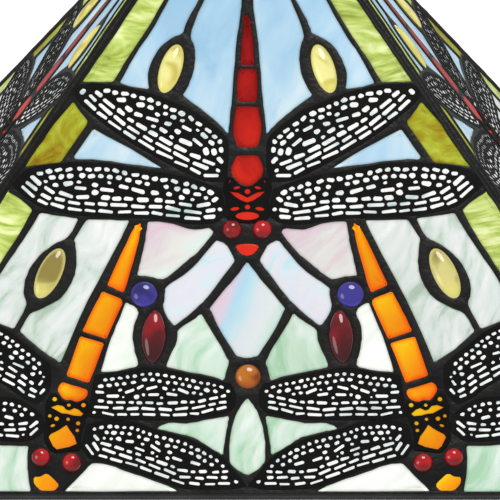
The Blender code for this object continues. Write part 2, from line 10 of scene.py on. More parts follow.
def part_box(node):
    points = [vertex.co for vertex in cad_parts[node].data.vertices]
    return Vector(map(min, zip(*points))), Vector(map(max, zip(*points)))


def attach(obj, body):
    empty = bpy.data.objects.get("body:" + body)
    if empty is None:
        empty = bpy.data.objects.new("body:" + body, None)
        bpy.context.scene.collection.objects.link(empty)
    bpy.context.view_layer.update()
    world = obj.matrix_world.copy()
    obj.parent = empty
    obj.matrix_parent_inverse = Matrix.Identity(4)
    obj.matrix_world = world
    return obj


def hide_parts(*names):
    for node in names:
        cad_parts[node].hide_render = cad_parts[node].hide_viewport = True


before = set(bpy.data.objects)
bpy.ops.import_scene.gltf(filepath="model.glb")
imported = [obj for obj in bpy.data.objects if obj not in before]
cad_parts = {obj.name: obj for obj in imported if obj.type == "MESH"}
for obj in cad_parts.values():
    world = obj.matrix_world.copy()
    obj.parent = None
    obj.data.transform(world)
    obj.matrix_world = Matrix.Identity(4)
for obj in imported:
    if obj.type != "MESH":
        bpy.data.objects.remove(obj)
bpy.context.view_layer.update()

mm = 0.001
sideNames = ("front", "right", "back", "left")

# The shade's panel, read from the frame. Points on a panel are in mm, u across and v up the slope.
rimLow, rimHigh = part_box("rim_channel")
capLow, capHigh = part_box("vase_cap")
panel = {
    "rimHalf": rimHigh.x - 0.001,
    "topHalf": capHigh.x - 0.007,
    "rimZ": rimHigh.z + 0.0004,
    "topZ": capLow.z - 0.0004,
    "drawnRim": 228.0,
    "drawnTop": 45.0,
    "drawnSlope": 297.85,
    "leadInset": 2.0,  # how far across from the corner each layer stops, mm
    "glassInset": 4.3,
    "plateInset": 4.0,
    "openingInset": 4.6,
}
panelRise = panel["topZ"] - panel["rimZ"]
panelRun = panel["rimHalf"] - panel["topHalf"]
panelSlope = math.hypot(panelRise, panelRun)
panelPitch = math.atan2(panelRise, panelRun)


def drawnHalf(v):
    return panel["drawnRim"] + (panel["drawnTop"] - panel["drawnRim"]) * v / panel["drawnSlope"]


def realHalf(v):
    return panel["rimHalf"] - panelRun * v / panel["drawnSlope"]


def atHip(v):
    return (-drawnHalf(v), v)


def onPanel(loop, inset=panel["glassInset"]):
    # drawn mm to metres, never past the panel's sloping edges
    points = []
    for u, v in loop:
        reach = realHalf(v) - inset * mm
        across = u / drawnHalf(v) * realHalf(v)
        points.append((max(-reach, min(reach, across)), v / panel["drawnSlope"] * panelSlope))
    return points


def mirrored(loop):
    return [(-u, v) for u, v in reversed(loop)]


def bothSides(loops):
    return loops + [mirrored(loop) for loop in loops]


def wholeOf(half):
    # a left half that runs from the middle to the middle
    return half + [(u, v) for u, v in mirrored(half) if abs(u) > 0.01]


def winding(loop):
    # twice the area, positive where the loop runs anticlockwise
    return sum(a[0] * b[1] - b[0] * a[1] for a, b in zip(loop, loop[1:] + loop[:1]))


def sideMatrix(side):
    turn = Matrix.Rotation(side * math.pi / 2, 4, "Z")
    foot = Matrix.Translation((0, -panel["rimHalf"], panel["rimZ"]))
    return turn @ foot @ Matrix.Rotation(panelPitch, 4, "X")


def rgb(red, green, blue):
    # display values 0 to 255 as linear light
    shares = [value / 255 for value in (red, green, blue)]
    return tuple(s / 12.92 if s < 0.0405 else ((s + 0.055) / 1.055) ** 2.4 for s in shares)


# Outlines

outlines = {
    "cornerTurn": 38,  # a bend sharper than this many degrees is a corner
    "stepsPerEdge": 3,
    "shortEdge": 3,  # mm, drawn without steps
    "fillet": 0.7,
    "filletShare": 0.25,  # of a short edge
    "tiny": 0.01,
    "foldedBack": 0.2,
    "longestMitre": 0.45,
    "wobble": 0.15,
    "steadyWobble": 0.05,  # for metal, which is cut more evenly than glass
    "wobbleSeed": 7,
    "jewelTaper": 1.3,
}
wobble = random.Random(outlines["wobbleSeed"])


def handCut(loop, shake=outlines["wobble"]):
    # smooths the gentle bends of an outline, rounds its corners a little and shakes it slightly
    points = [Vector(p) for p in loop]
    count = len(points)
    sharp = []
    for i in range(count):
        before = points[i] - points[i - 1]
        after = points[(i + 1) % count] - points[i]
        turn = abs(math.degrees(before.angle_signed(after, 0))) if before.length and after.length else 0
        sharp.append(turn > outlines["cornerTurn"])
    made = []
    for i in range(count):
        here, there = points[i], points[(i + 1) % count]
        edge = there - here
        if edge.length < outlines["tiny"]:
            continue
        startPull = edge if sharp[i] else (there - points[i - 1]).normalized() * edge.length
        beyond = points[(i + 2) % count]
        endPull = edge if sharp[(i + 1) % count] else (beyond - here).normalized() * edge.length
        steps = outlines["stepsPerEdge"] if edge.length > outlines["shortEdge"] else 1
        trim = min(outlines["fillet"], edge.length * outlines["filletShare"]) / edge.length
        if sharp[i]:
            made.append(here + edge * trim)
        else:
            made.append(here.copy())
        for step in range(1, steps):
            t = step / steps
            made.append(
                here * (2 * t**3 - 3 * t**2 + 1) + startPull * (t**3 - 2 * t**2 + t)
                + there * (3 * t**2 - 2 * t**3) + endPull * (t**3 - t**2)
            )
        if sharp[(i + 1) % count]:
            made.append(there - edge * trim)
    for point in made:
        point.x += wobble.uniform(-shake, shake)
        point.y += wobble.uniform(-shake, shake)
    return [tuple(p) for p in made]


def oval(centre, longHalf, shortHalf, lean, steps=28, grow=0.0, taper=0.0):
    # an ellipse whose long axis leans this many degrees from upright, towards +u
    turn = math.radians(lean)
    along = Vector((math.sin(turn), math.cos(turn)))
    across = Vector((math.cos(turn), -math.sin(turn)))
    points = []
    for i in range(steps):
        angle = 2 * math.pi * i / steps
        narrow = 1 - taper * abs(math.cos(angle)) ** outlines["jewelTaper"]
        wide = (shortHalf + grow) * math.sin(angle) * narrow
        spot = along * ((longHalf + grow) * math.cos(angle)) + across * wide
        points.append((centre[0] + spot.x, centre[1] + spot.y))
    return points


def grown(loop, reach):
    # moves an outline outwards along its corners, or inwards where reach is negative
    sign = 1 if winding(loop) > 0 else -1
    points = [Vector(p) for p in loop]
    made = []
    for i, point in enumerate(points):
        before = (point - points[i - 1]).normalized()
        after = (points[(i + 1) % len(points)] - point).normalized()
        first = Vector((before.y, -before.x)) * sign
        second = Vector((after.y, -after.x)) * sign
        middle = first + second
        if middle.length < outlines["foldedBack"]:
            made.append(tuple(point + first * reach))
            continue
        middle.normalize()
        made.append(tuple(point + middle * (reach / max(middle.dot(first), outlines["longestMitre"]))))
    return made


# Glass of one panel: outlines of the left half, by the kind of glass
glassPieces = {
    "border": [
        [atHip(291), (-31, 291), (-43.6, 271), (-49.5, 260), (-55, 250), (-61, 240.5), (-69.5, 225),
         (-80, 225), atHip(225.5)],
        [atHip(165.5), (-116, 159), (-110.4, 153.5), (-117, 140), (-123, 130), (-128.6, 120.5),
         (-136, 107.5), (-142, 97), (-150, 101), atHip(106)],
        [atHip(87), (-160, 80), (-152, 74.5), (-165, 71), atHip(68)],
        [(-174, 38.5), atHip(45), atHip(0.9), (-197.5, 0.9), (-185, 21)],
    ],
    "olive": [
        [(-89.9, 214), (-86.2, 208), (-82.3, 203), (-83, 201), (-96, 180.2), (-104, 179), atHip(177)],
    ],
    "sky": [
        [(-2.8, 291), (-14.5, 291), (-22.5, 271.4), (-27, 260), (-29.3, 251), (-27.6, 245), (-27, 238),
         (-28, 230), (-30.5, 223), (-33.5, 217.5), (-26, 211.5), (-20, 206.5), (-13.5, 200), (-9.9, 195.8),
         (-9, 206), (-8.1, 215), (-7, 230), (-6.3, 240), (-5.4, 250), (-4, 260), (-3.2, 268)],
        [(-17.8, 291), (-29.5, 291), (-41, 271.4), (-46.5, 260), (-52, 250), (-58, 240.5), (-66, 224.5),
         (-59.5, 222.3), (-51, 221), (-51.5, 230), (-49, 238), (-45, 245), (-39.5, 249.5), (-33.5, 252.5),
         (-31, 260), (-25.4, 271.4)],
        [(-79.6, 198.6), (-89.4, 183), (-88.5, 181.7), (-80, 181.6), (-70, 180.6), (-60, 178.9),
         (-44, 176.8), (-60, 187.4)],
    ],
    "opal": [
        [(-106.3, 152), (-96, 150.2), (-86.7, 148.8), (-92, 138.5), (-97.5, 135.5), (-104.5, 130.3),
         (-110, 123.5), (-113.5, 115), (-114.2, 108), (-112.8, 101.5), (-119, 88.3), (-126.5, 91.5),
         (-138.5, 97), (-131.5, 109), (-125, 120.5), (-119, 130), (-113, 140)],
        [(-82.3, 148.2), (-70, 148), (-60.5, 147.8), (-64.8, 138), (-71, 125), (-78.5, 110), (-86, 93),
         (-95, 70), (-103, 75.5), (-110, 81.5), (-115.8, 87), (-110.8, 96.5), (-105.5, 99), (-100.5, 101.6),
         (-95, 105.3), (-90.8, 111.5), (-88.2, 118), (-87.3, 125), (-88, 134), (-88.7, 137.5)],
    ],
    "milk": [
        [(-61.8, 103), (-56.5, 99.5), (-55.6, 97), (-57.8, 90), (-58.3, 83), (-57.2, 76), (-55.4, 69.5),
         (-56.5, 67.6), (-66, 65.6), (-74.5, 64.9), (-70.3, 80), (-66.7, 90)],
        [(-92.2, 0.9), (-84.4, 9), (-80.2, 14), (-78.2, 16), (-70, 14.9), (-60, 11), (-50, 7.6),
         (-40, 3.6), (-35, 0.9)],
    ],
    "pink": [
        [(-50.8, 147.3), (-45, 147), (-38, 145.9), (-30, 143), (-25, 142.9), (-19, 143.5), (-17.3, 141.5),
         (-20.5, 136.7), (-25.5, 130.3), (-31, 125.5), (-36, 120.8), (-41, 116.6), (-44, 115.3), (-50, 116.9),
         (-56.2, 117.5), (-54.7, 125), (-52.5, 135), (-51.9, 141)],
    ],
    "pearl": [
        [(-42, 110.8), (-38.2, 113.7), (-30, 119.8), (-25.3, 124.8), (-20, 131.6), (-16.5, 136.1),
         (-15.3, 136.8), (-12, 135.2), (-9.7, 132.7), (-6.3, 125.6), (-10.4, 119.7), (-20.4, 105.8),
         (-24.3, 101.3), (-31, 94.9), (-37.3, 89.9), (-40.3, 94), (-42.9, 100), (-42.2, 105)],
    ],
    "green": [
        [(-23.5, 96.8), (-28, 92.9), (-34, 88.9), (-35.6, 87.3), (-35.8, 82), (-38.6, 75), (-40.8, 69.5),
         (-41, 67.7), (-30, 65.1), (-20, 63.1), (-11.8, 60.3), (-10.6, 66), (-9.2, 70.3), (-13.4, 79),
         (-19.8, 89.8)],
        [(-9.2, 41.3), (-17, 39.8), (-25, 38.2), (-31, 37.2), (-40, 37.4), (-45.5, 35), (-45.3, 34.2),
         (-40, 33.1), (-33, 31.4), (-27, 29.6), (-23, 27.1), (-18, 23.7), (-12.2, 20.2), (-12, 23),
         (-11.2, 29), (-10.1, 36)],
        [(-110.8, 25.2), (-120, 25.2), (-130, 26), (-146, 28.8), (-158, 32.8), (-166, 37), (-172, 31),
         (-180, 22), (-193.5, 0.9), (-109, 0.9), (-110.4, 8), (-111, 16)],
    ],
}
# Left halves of the pieces on the middle line, top to bottom
middlePieces = {
    "kite": [(0, 125), (-6.5, 116), (-12, 109), (-19.4, 99.4), (-18.3, 97.5), (-15, 90), (-9.6, 80.5),
             (-5.2, 73.4), (0, 72.6)],
    "tear": [(0, 51), (-3, 47), (-5.2, 43), (-7.3, 37), (-8.5, 31), (-9, 25), (-9, 16.5), (-5, 12.4),
             (0, 9.5)],
}
redTail = [
    [(0, 263.5), (-2.3, 252), (-3.1, 243), (-3.4, 234.7), (0, 234.3)],
    [(0, 232.2), (-4.5, 232), (-5.2, 224), (-4.7, 214), (0, 213.6)],
    [(0, 211), (-5.5, 210.7), (-7, 201), (-6.9, 195), (-5, 188.7), (0, 188.3)],
    [(0, 183.6), (-4.8, 183.4), (-5.6, 182.8), (-7.8, 177.4), (-8, 174), (-6.2, 170.9), (-3, 167.9),
     (0, 167)],
]
orangeTail = [
    [(-54.6, 146.3), (-55.8, 137), (-60, 119.5), (-63.2, 108.1), (-71.6, 112.2), (-61.4, 136), (-58, 143)],
    [(-73.8, 108.5), (-64.2, 104.4), (-63.9, 102), (-71.8, 83), (-83.8, 87), (-79, 98)],
    [(-85.2, 84), (-72.8, 80.3), (-80.5, 59), (-91.8, 63)],
    [(-93.8, 59.2), (-81.2, 55.2), (-80.9, 52.7), (-83, 50.2), (-86.5, 48.7), (-89, 50), (-92, 49.7),
     (-93.5, 50.7), (-96.3, 55), (-95.3, 57.7)],
]
print("outlines ready")


# Wings: the two long edges of the pierced field of each, from the tip to the root
wings = {
    "redUpper": {
        "upper": [(-88.6, 219), (-84, 222), (-72, 221.5), (-60, 219.3), (-50, 216.3), (-40, 212),
                  (-30, 207.5), (-20, 200), (-12.8, 193), (-11.4, 186)],
        "lower": [(-86, 214.5), (-80, 208.5), (-70, 200), (-60, 192.5), (-45, 183.3), (-35, 177.5),
                  (-22, 171.3), (-12.2, 170.4)],
        "roots": "red",
    },
    "redLower": {
        "upper": [(-119.5, 168), (-112, 174.5), (-100.5, 177), (-88.5, 178), (-80, 177.8), (-72, 177.5),
                  (-60, 175.4), (-49, 172.8), (-37, 171), (-25, 167.6), (-14.6, 163.6)],
        "lower": [(-118, 166), (-111, 159.8), (-105.5, 156.2), (-95, 153.2), (-86, 151.8), (-60, 150.4),
                  (-50, 150.2), (-40, 149), (-28, 147), (-17, 148), (-12.4, 151.5)],
        "roots": "red",
    },
    "orangeInnerUpper": {
        "upper": [(-7.5, 52), (-9.5, 57), (-20, 59.8), (-30, 62), (-42, 64.3), (-52, 65.4), (-60, 63.6),
                  (-68, 62.6), (-76, 61.5)],
        "lower": [(-8, 46.5), (-10.5, 44.2), (-25, 41.2), (-40, 40.3), (-55, 40.4), (-70, 40.6), (-79, 42)],
        "roots": "orange",
    },
    "orangeInnerLower": {
        "upper": [(-3, 4.5), (-6, 8), (-13, 17), (-23, 23.7), (-33, 28.2), (-46, 31.7), (-58, 36), (-70, 37),
                  (-80, 35)],
        "lower": [(-8, 3.4), (-25, 3.4), (-34, 4.2), (-45, 8.6), (-60, 14.2), (-70, 17.4), (-79, 19.8),
                  (-82.4, 25)],
        "roots": "orange",
    },
    "orangeOuterUpper": {
        "upper": [(-158, 100.5), (-150, 97.5), (-138, 92.5), (-128, 88.5), (-121, 84.5), (-114, 78.5),
                  (-107, 72.5), (-101.5, 67.5)],
        "lower": [(-164, 94), (-156, 83), (-147, 75), (-138, 68.5), (-128, 62.5), (-120, 57.5), (-113, 52),
                  (-107, 49), (-102, 55)],
        "roots": "orange",
    },
    "orangeOuterLower": {
        "upper": [(-186, 59), (-175, 61.5), (-160, 60), (-146, 54.5), (-134, 50.5), (-125, 49.5),
                  (-117, 48.5), (-110, 44.5), (-105, 40)],
        "lower": [(-184, 52), (-172, 45), (-158, 38), (-146, 33.5), (-134, 30.5), (-125, 29.3), (-116, 28.8),
                  (-109, 29.8), (-104, 34)],
        "roots": "orange",
    },
}
piercing = {
    "margin": 0.05,  # between a hole and the edge of the field
    "seed": 11,
    "firstHole": (0.3, 2.0),  # where along its line a row starts
    "step": 1.0,  # how far a row moves on past a spot with no room
    "rowLift": 0.15,
    "rowDrift": 0.55,
    "rowGap": (1.0, 1.4),  # shares of the web
    "lowerSwing": 0.1,
    "halfSpread": (0.85, 1.05),
    "longSpread": (0.9, 1.2),
    "endSpread": (0.74, 1.04),
    "skew": 0.4,
    "endAngles": (-80, -40, 0, 40, 80),
    # rows give the shortest and longest hole and its half width, counted from either edge;
    # then the gaps are filled, the longest holes first: length, half width, tries
    "red": {
        "pitch": 3.5, "web": 0.85, "boxy": 0.8, "swing": 0.3,
        "upperRows": [((3.0, 4.6), 1.4), ((3.0, 5.2), 1.5)],
        "lowerRows": [((6.0, 10.5), 1.05), ((5.0, 10.0), 1.15), ((4.0, 8.5), 1.3)],
        "fillers": [(6.4, 1.3, 200), (4.8, 1.5, 400), (3.8, 1.6, 600), (3.2, 1.35, 700), (2.6, 1.15, 800),
                    (2.1, 0.9, 600)],
    },
    "orange": {
        "pitch": 3.1, "web": 1.05, "boxy": 0.9, "swing": 0.35,
        "upperRows": [((2.0, 2.9), 1.0), ((2.1, 3.2), 1.1)],
        "lowerRows": [((3.6, 8.0), 0.8), ((3.4, 8.0), 0.88), ((2.6, 6.0), 0.92)],
        "fillers": [(5.6, 0.88, 160), (4.2, 0.98, 350), (3.1, 1.12, 600), (2.4, 1.08, 800), (1.9, 0.9, 900),
                    (1.4, 0.66, 400)],
    },
}


def lineLengths(line):
    return [0.0] + list(numpy.cumsum([(Vector(b) - Vector(a)).length for a, b in zip(line, line[1:])]))


def alongLine(line, lengths, walked):
    # the point at this distance along a line, and the line's direction there
    for i in range(len(line) - 1):
        if walked <= lengths[i + 1] or i == len(line) - 2:
            share = (walked - lengths[i]) / max(lengths[i + 1] - lengths[i], 1e-6)
            start, end = Vector(line[i]), Vector(line[i + 1])
            return start.lerp(end, share), (end - start).normalized()


def nearestOn(line, spot):
    # the distance from a point to an open line, and the line's direction there
    best = (1e9, None)
    for a, b in zip(line, line[1:]):
        start, edge = Vector(a), Vector(b) - Vector(a)
        share = max(0, min(1, (spot - start).dot(edge) / edge.length_squared))
        reach = (start + edge * share - spot).length
        if reach < best[0]:
            best = (reach, edge.normalized())
    return best


def edgeDistance(points, loop):
    # how near a loop comes to any of these points
    starts = numpy.array(loop)
    edges = numpy.roll(starts, -1, axis=0) - starts
    offsets = points[:, None] - starts[None]
    share = numpy.clip((offsets * edges).sum(2) / (edges * edges).sum(1), 0, 1)
    return numpy.sqrt(((offsets - edges * share[..., None]) ** 2).sum(2)).min()


def inside(point, loop):
    hit = False
    for (ax, ay), (bx, by) in zip(loop, loop[1:] + loop[:1]):
        if (ay > point[1]) != (by > point[1]):
            if point[0] < ax + (bx - ax) * (point[1] - ay) / (by - ay):
                hit = not hit
    return hit


def pebble(centre, along, halfLong, halfWide, boxy, rng):
    # a hole as etched by hand: a rounded slot or dot with uneven ends
    across = Vector((-along.y, along.x))
    reach = max(halfLong - halfWide, 0)
    loop = []
    for end in (1, -1):
        wide = halfWide * rng.uniform(*piercing["endSpread"])
        skew = rng.uniform(-piercing["skew"], piercing["skew"])
        for degrees in piercing["endAngles"]:
            angle = math.radians(degrees)
            side = math.sin(angle) * wide
            ahead = math.cos(angle) ** boxy * wide * (1 + skew * math.sin(angle))
            spot = centre + (along * (reach + ahead) + across * side) * end
            loop.append((spot.x, spot.y))
    return loop


def pierced(wing, rng):
    # rows of dots under the upper edge and of dashes over the lower one, then the gaps between filled
    style = piercing[wing["roots"]]
    field = wing["upper"] + wing["lower"][::-1]
    taken = numpy.zeros((0, 2))
    takenHalf = numpy.zeros(0)
    loops = []

    def place(centre, along, long, half):
        nonlocal taken, takenHalf
        reach = max(long / 2 - half, 0)
        probes = [centre + along * (reach * k) for k in (-1, -0.5, 0, 0.5, 1)]
        if not all(inside(p, field) for p in probes):
            return False
        spots = numpy.array([tuple(p) for p in probes])
        if edgeDistance(spots, field) < half + piercing["margin"]:
            return False
        if len(taken):
            gaps = numpy.sqrt(((spots[:, None] - taken[None]) ** 2).sum(2)) - takenHalf[None] - half
            if gaps.min() < style["web"]:
                return False
        taken = numpy.vstack([taken, spots])
        takenHalf = numpy.concatenate([takenHalf, numpy.full(len(spots), half)])
        loops.append(pebble(centre, along, max(long / 2, half), half, style["boxy"], rng))
        return True

    for name in ("lower", "upper"):
        line = wing[name]
        lengths = lineLengths(line)
        other = wing["upper" if name == "lower" else "lower"]
        facing = Vector(other[len(other) // 2])
        for row, (sizes, wide) in enumerate(style[name + "Rows"]):
            walked = rng.uniform(*piercing["firstHole"])
            while walked < lengths[-1]:
                long = rng.uniform(*sizes)
                half = min(wide * rng.uniform(*piercing["halfSpread"]), long / 2)
                spot, along = alongLine(line, lengths, walked + long / 2)
                across = Vector((-along.y, along.x))
                if across.dot(facing - spot) < 0:
                    across.negate()
                depth = wide + piercing["margin"] + piercing["rowLift"] + style["pitch"] * row
                depth += rng.uniform(0, piercing["rowDrift"])
                swing = style["swing"] if name == "upper" else piercing["lowerSwing"]
                along.rotate(Matrix.Rotation(rng.uniform(-swing, swing), 2))
                if place(spot + across * depth, along, long, half):
                    walked += long + style["web"] * rng.uniform(*piercing["rowGap"])
                else:
                    walked += piercing["step"]
    low = [min(p[i] for p in field) for i in (0, 1)]
    high = [max(p[i] for p in field) for i in (0, 1)]
    for long, wide, tries in style["fillers"]:
        for attempt in range(tries):
            spot = Vector((rng.uniform(low[0], high[0]), rng.uniform(low[1], high[1])))
            turn = rng.uniform(-style["swing"], style["swing"])
            filled = long * rng.uniform(*piercing["longSpread"])
            narrow = rng.uniform(*piercing["halfSpread"])
            if not inside(spot, field):
                continue
            toUpper, upperWay = nearestOn(wing["upper"], spot)
            toLower, lowerWay = nearestOn(wing["lower"], spot)
            along = (upperWay * toLower + lowerWay * toUpper).normalized()
            along.rotate(Matrix.Rotation(turn, 2))
            place(spot, along, filled, min(wide * narrow, filled / 2))
    return field, loops


rng = random.Random(piercing["seed"])
wingFields = {name: pierced(wing, rng) for name, wing in wings.items()}
print("wings pierced:", {name: len(found[1]) for name, found in wingFields.items()})


# Shader groups

def newGroup(name, inputs, outputs):
    group = bpy.data.node_groups.new(name, "ShaderNodeTree")
    for title, kind, value in inputs:
        socket = group.interface.new_socket(title, in_out="INPUT", socket_type=kind)
        if value is not None:
            socket.default_value = value
    for title, kind in outputs:
        group.interface.new_socket(title, in_out="OUTPUT", socket_type=kind)
    return group, group.nodes.new("NodeGroupInput"), group.nodes.new("NodeGroupOutput")


def addNode(tree, kind, **settings):
    node = tree.nodes.new(kind)
    for key, value in settings.items():
        setattr(node, key, value)
    return node


def mixColours(tree, amount, first, second, blend="MIX"):
    # each of the three is a socket or a plain value
    node = addNode(tree, "ShaderNodeMix", data_type="RGBA", blend_type=blend, clamp_factor=True)
    for socket, value in ((node.inputs[0], amount), (node.inputs[6], first), (node.inputs[7], second)):
        if isinstance(value, bpy.types.NodeSocket):
            tree.links.new(value, socket)
        else:
            socket.default_value = value
    return node.outputs[2]


def calc(tree, operation, *values):
    node = addNode(tree, "ShaderNodeMath", operation=operation)
    for socket, value in zip(node.inputs, values):
        if isinstance(value, bpy.types.NodeSocket):
            tree.links.new(value, socket)
        else:
            socket.default_value = value
    return node.outputs[0]


def ramp(tree, factor, stops, easing="LINEAR"):
    node = addNode(tree, "ShaderNodeValToRGB")
    node.color_ramp.interpolation = easing
    while len(node.color_ramp.elements) < len(stops):
        node.color_ramp.elements.new(0.5)
    for element, (spot, colour) in zip(node.color_ramp.elements, stops):
        element.position = spot
        element.color = (*colour, 1)
    tree.links.new(factor, node.inputs[0])
    return node.outputs[0]


streakLooks = {
    "waverScale": 22.0,
    "waver": 0.03,  # how far the streaks bend from straight, m
    "pieceShift": 1.7,  # moves each piece of glass to its own part of the pattern
    "detail": 3.0,
    "roughness": 0.6,
    "distortion": 0.35,
    "hazeShare": 0.8,  # the haze's scale as a share of the streaks'
    "rippleScale": 260.0,
}


def streakGroup():
    # long wavy bands through a sheet of art glass, the fine haze between them and the ripple of its face
    group, given, out = newGroup("glassStreaks", [
        ("Vector", "NodeSocketVector", None), ("Turn", "NodeSocketFloat", 0.0),
        ("Scale", "NodeSocketFloat", 30.0), ("Stretch", "NodeSocketFloat", 4.0),
        ("Piece", "NodeSocketFloat", 0.0),
    ], [("Streaks", "NodeSocketFloat"), ("Haze", "NodeSocketFloat"), ("Ripple", "NodeSocketFloat")])
    links = group.links
    turn = addNode(group, "ShaderNodeVectorRotate", rotation_type="Z_AXIS")
    links.new(given.outputs["Vector"], turn.inputs["Vector"])
    links.new(given.outputs["Turn"], turn.inputs["Angle"])
    waver = addNode(group, "ShaderNodeTexNoise", noise_dimensions="3D")
    waver.inputs["Scale"].default_value = streakLooks["waverScale"]
    waver.inputs["Detail"].default_value = 1.0
    links.new(turn.outputs[0], waver.inputs["Vector"])
    bent = addNode(group, "ShaderNodeVectorMath", operation="SCALE")
    links.new(waver.outputs["Color"], bent.inputs[0])
    bent.inputs["Scale"].default_value = streakLooks["waver"]
    placed = addNode(group, "ShaderNodeVectorMath", operation="ADD")
    links.new(turn.outputs[0], placed.inputs[0])
    links.new(bent.outputs[0], placed.inputs[1])
    parts = addNode(group, "ShaderNodeSeparateXYZ")
    links.new(placed.outputs[0], parts.inputs[0])
    packed = addNode(group, "ShaderNodeCombineXYZ")
    links.new(parts.outputs[0], packed.inputs[0])
    links.new(calc(group, "MULTIPLY", parts.outputs[1], given.outputs["Stretch"]), packed.inputs[1])
    links.new(calc(group, "MULTIPLY", given.outputs["Piece"], streakLooks["pieceShift"]), packed.inputs[2])
    streaks = addNode(group, "ShaderNodeTexNoise", noise_dimensions="3D")
    for title in ("Detail", "Roughness", "Distortion"):
        streaks.inputs[title].default_value = streakLooks[title.lower()]
    links.new(packed.outputs[0], streaks.inputs["Vector"])
    links.new(given.outputs["Scale"], streaks.inputs["Scale"])
    links.new(streaks.outputs["Fac"], out.inputs["Streaks"])
    haze = addNode(group, "ShaderNodeTexNoise", noise_dimensions="3D")
    haze.inputs["Detail"].default_value = 2.0
    links.new(placed.outputs[0], haze.inputs["Vector"])
    links.new(calc(group, "MULTIPLY", given.outputs["Scale"], streakLooks["hazeShare"]), haze.inputs["Scale"])
    links.new(haze.outputs["Fac"], out.inputs["Haze"])
    ripple = addNode(group, "ShaderNodeTexNoise", noise_dimensions="3D")
    ripple.inputs["Detail"].default_value = 2.0
    ripple.inputs["Scale"].default_value = streakLooks["rippleScale"]
    links.new(given.outputs["Vector"], ripple.inputs["Vector"])
    links.new(ripple.outputs["Fac"], out.inputs["Ripple"])
    return group


wearAndSheenLooks = {"detail": {"Patch": 5.0, "Grain": 3.0}, "edgeFrom": 0.5, "edgeTo": 0.62}


def wearAndSheenGroup():
    # patches, grime and a fine grain for metal, on object coordinates, and the convex edges, which the metals
    # lighten as wear and on the leads partly as painted sheen
    group, given, out = newGroup("metalWearAndSheen", [
        ("Vector", "NodeSocketVector", None), ("Patch Scale", "NodeSocketFloat", 18.0),
        ("Grain Scale", "NodeSocketFloat", 420.0),
    ], [("Patches", "NodeSocketFloat"), ("Grain", "NodeSocketFloat"), ("Edges", "NodeSocketFloat")])
    for title, kind in (("Patches", "Patch"), ("Grain", "Grain")):
        noise = addNode(group, "ShaderNodeTexNoise", noise_dimensions="3D")
        noise.inputs["Detail"].default_value = wearAndSheenLooks["detail"][kind]
        group.links.new(given.outputs["Vector"], noise.inputs["Vector"])
        group.links.new(given.outputs[kind + " Scale"], noise.inputs["Scale"])
        group.links.new(noise.outputs["Fac"], out.inputs[title])
    corners = addNode(group, "ShaderNodeNewGeometry")
    edges = addNode(group, "ShaderNodeMapRange")
    edges.inputs["From Min"].default_value = wearAndSheenLooks["edgeFrom"]
    edges.inputs["From Max"].default_value = wearAndSheenLooks["edgeTo"]
    group.links.new(corners.outputs["Pointiness"], edges.inputs["Value"])
    group.links.new(edges.outputs[0], out.inputs["Edges"])
    return group


glassStreaks = streakGroup()
metalWearAndSheen = wearAndSheenGroup()
print("shader groups ready")


# Materials

def newMaterial(name):
    found = bpy.data.materials.new(name)
    found.use_nodes = True
    return found, found.node_tree, found.node_tree.nodes["Principled BSDF"]


def bumped(tree, shader, height, strength, distance):
    bump = addNode(tree, "ShaderNodeBump")
    bump.inputs["Strength"].default_value = strength
    bump.inputs["Distance"].default_value = distance
    tree.links.new(height, bump.inputs["Height"])
    tree.links.new(bump.outputs[0], shader.inputs["Normal"])


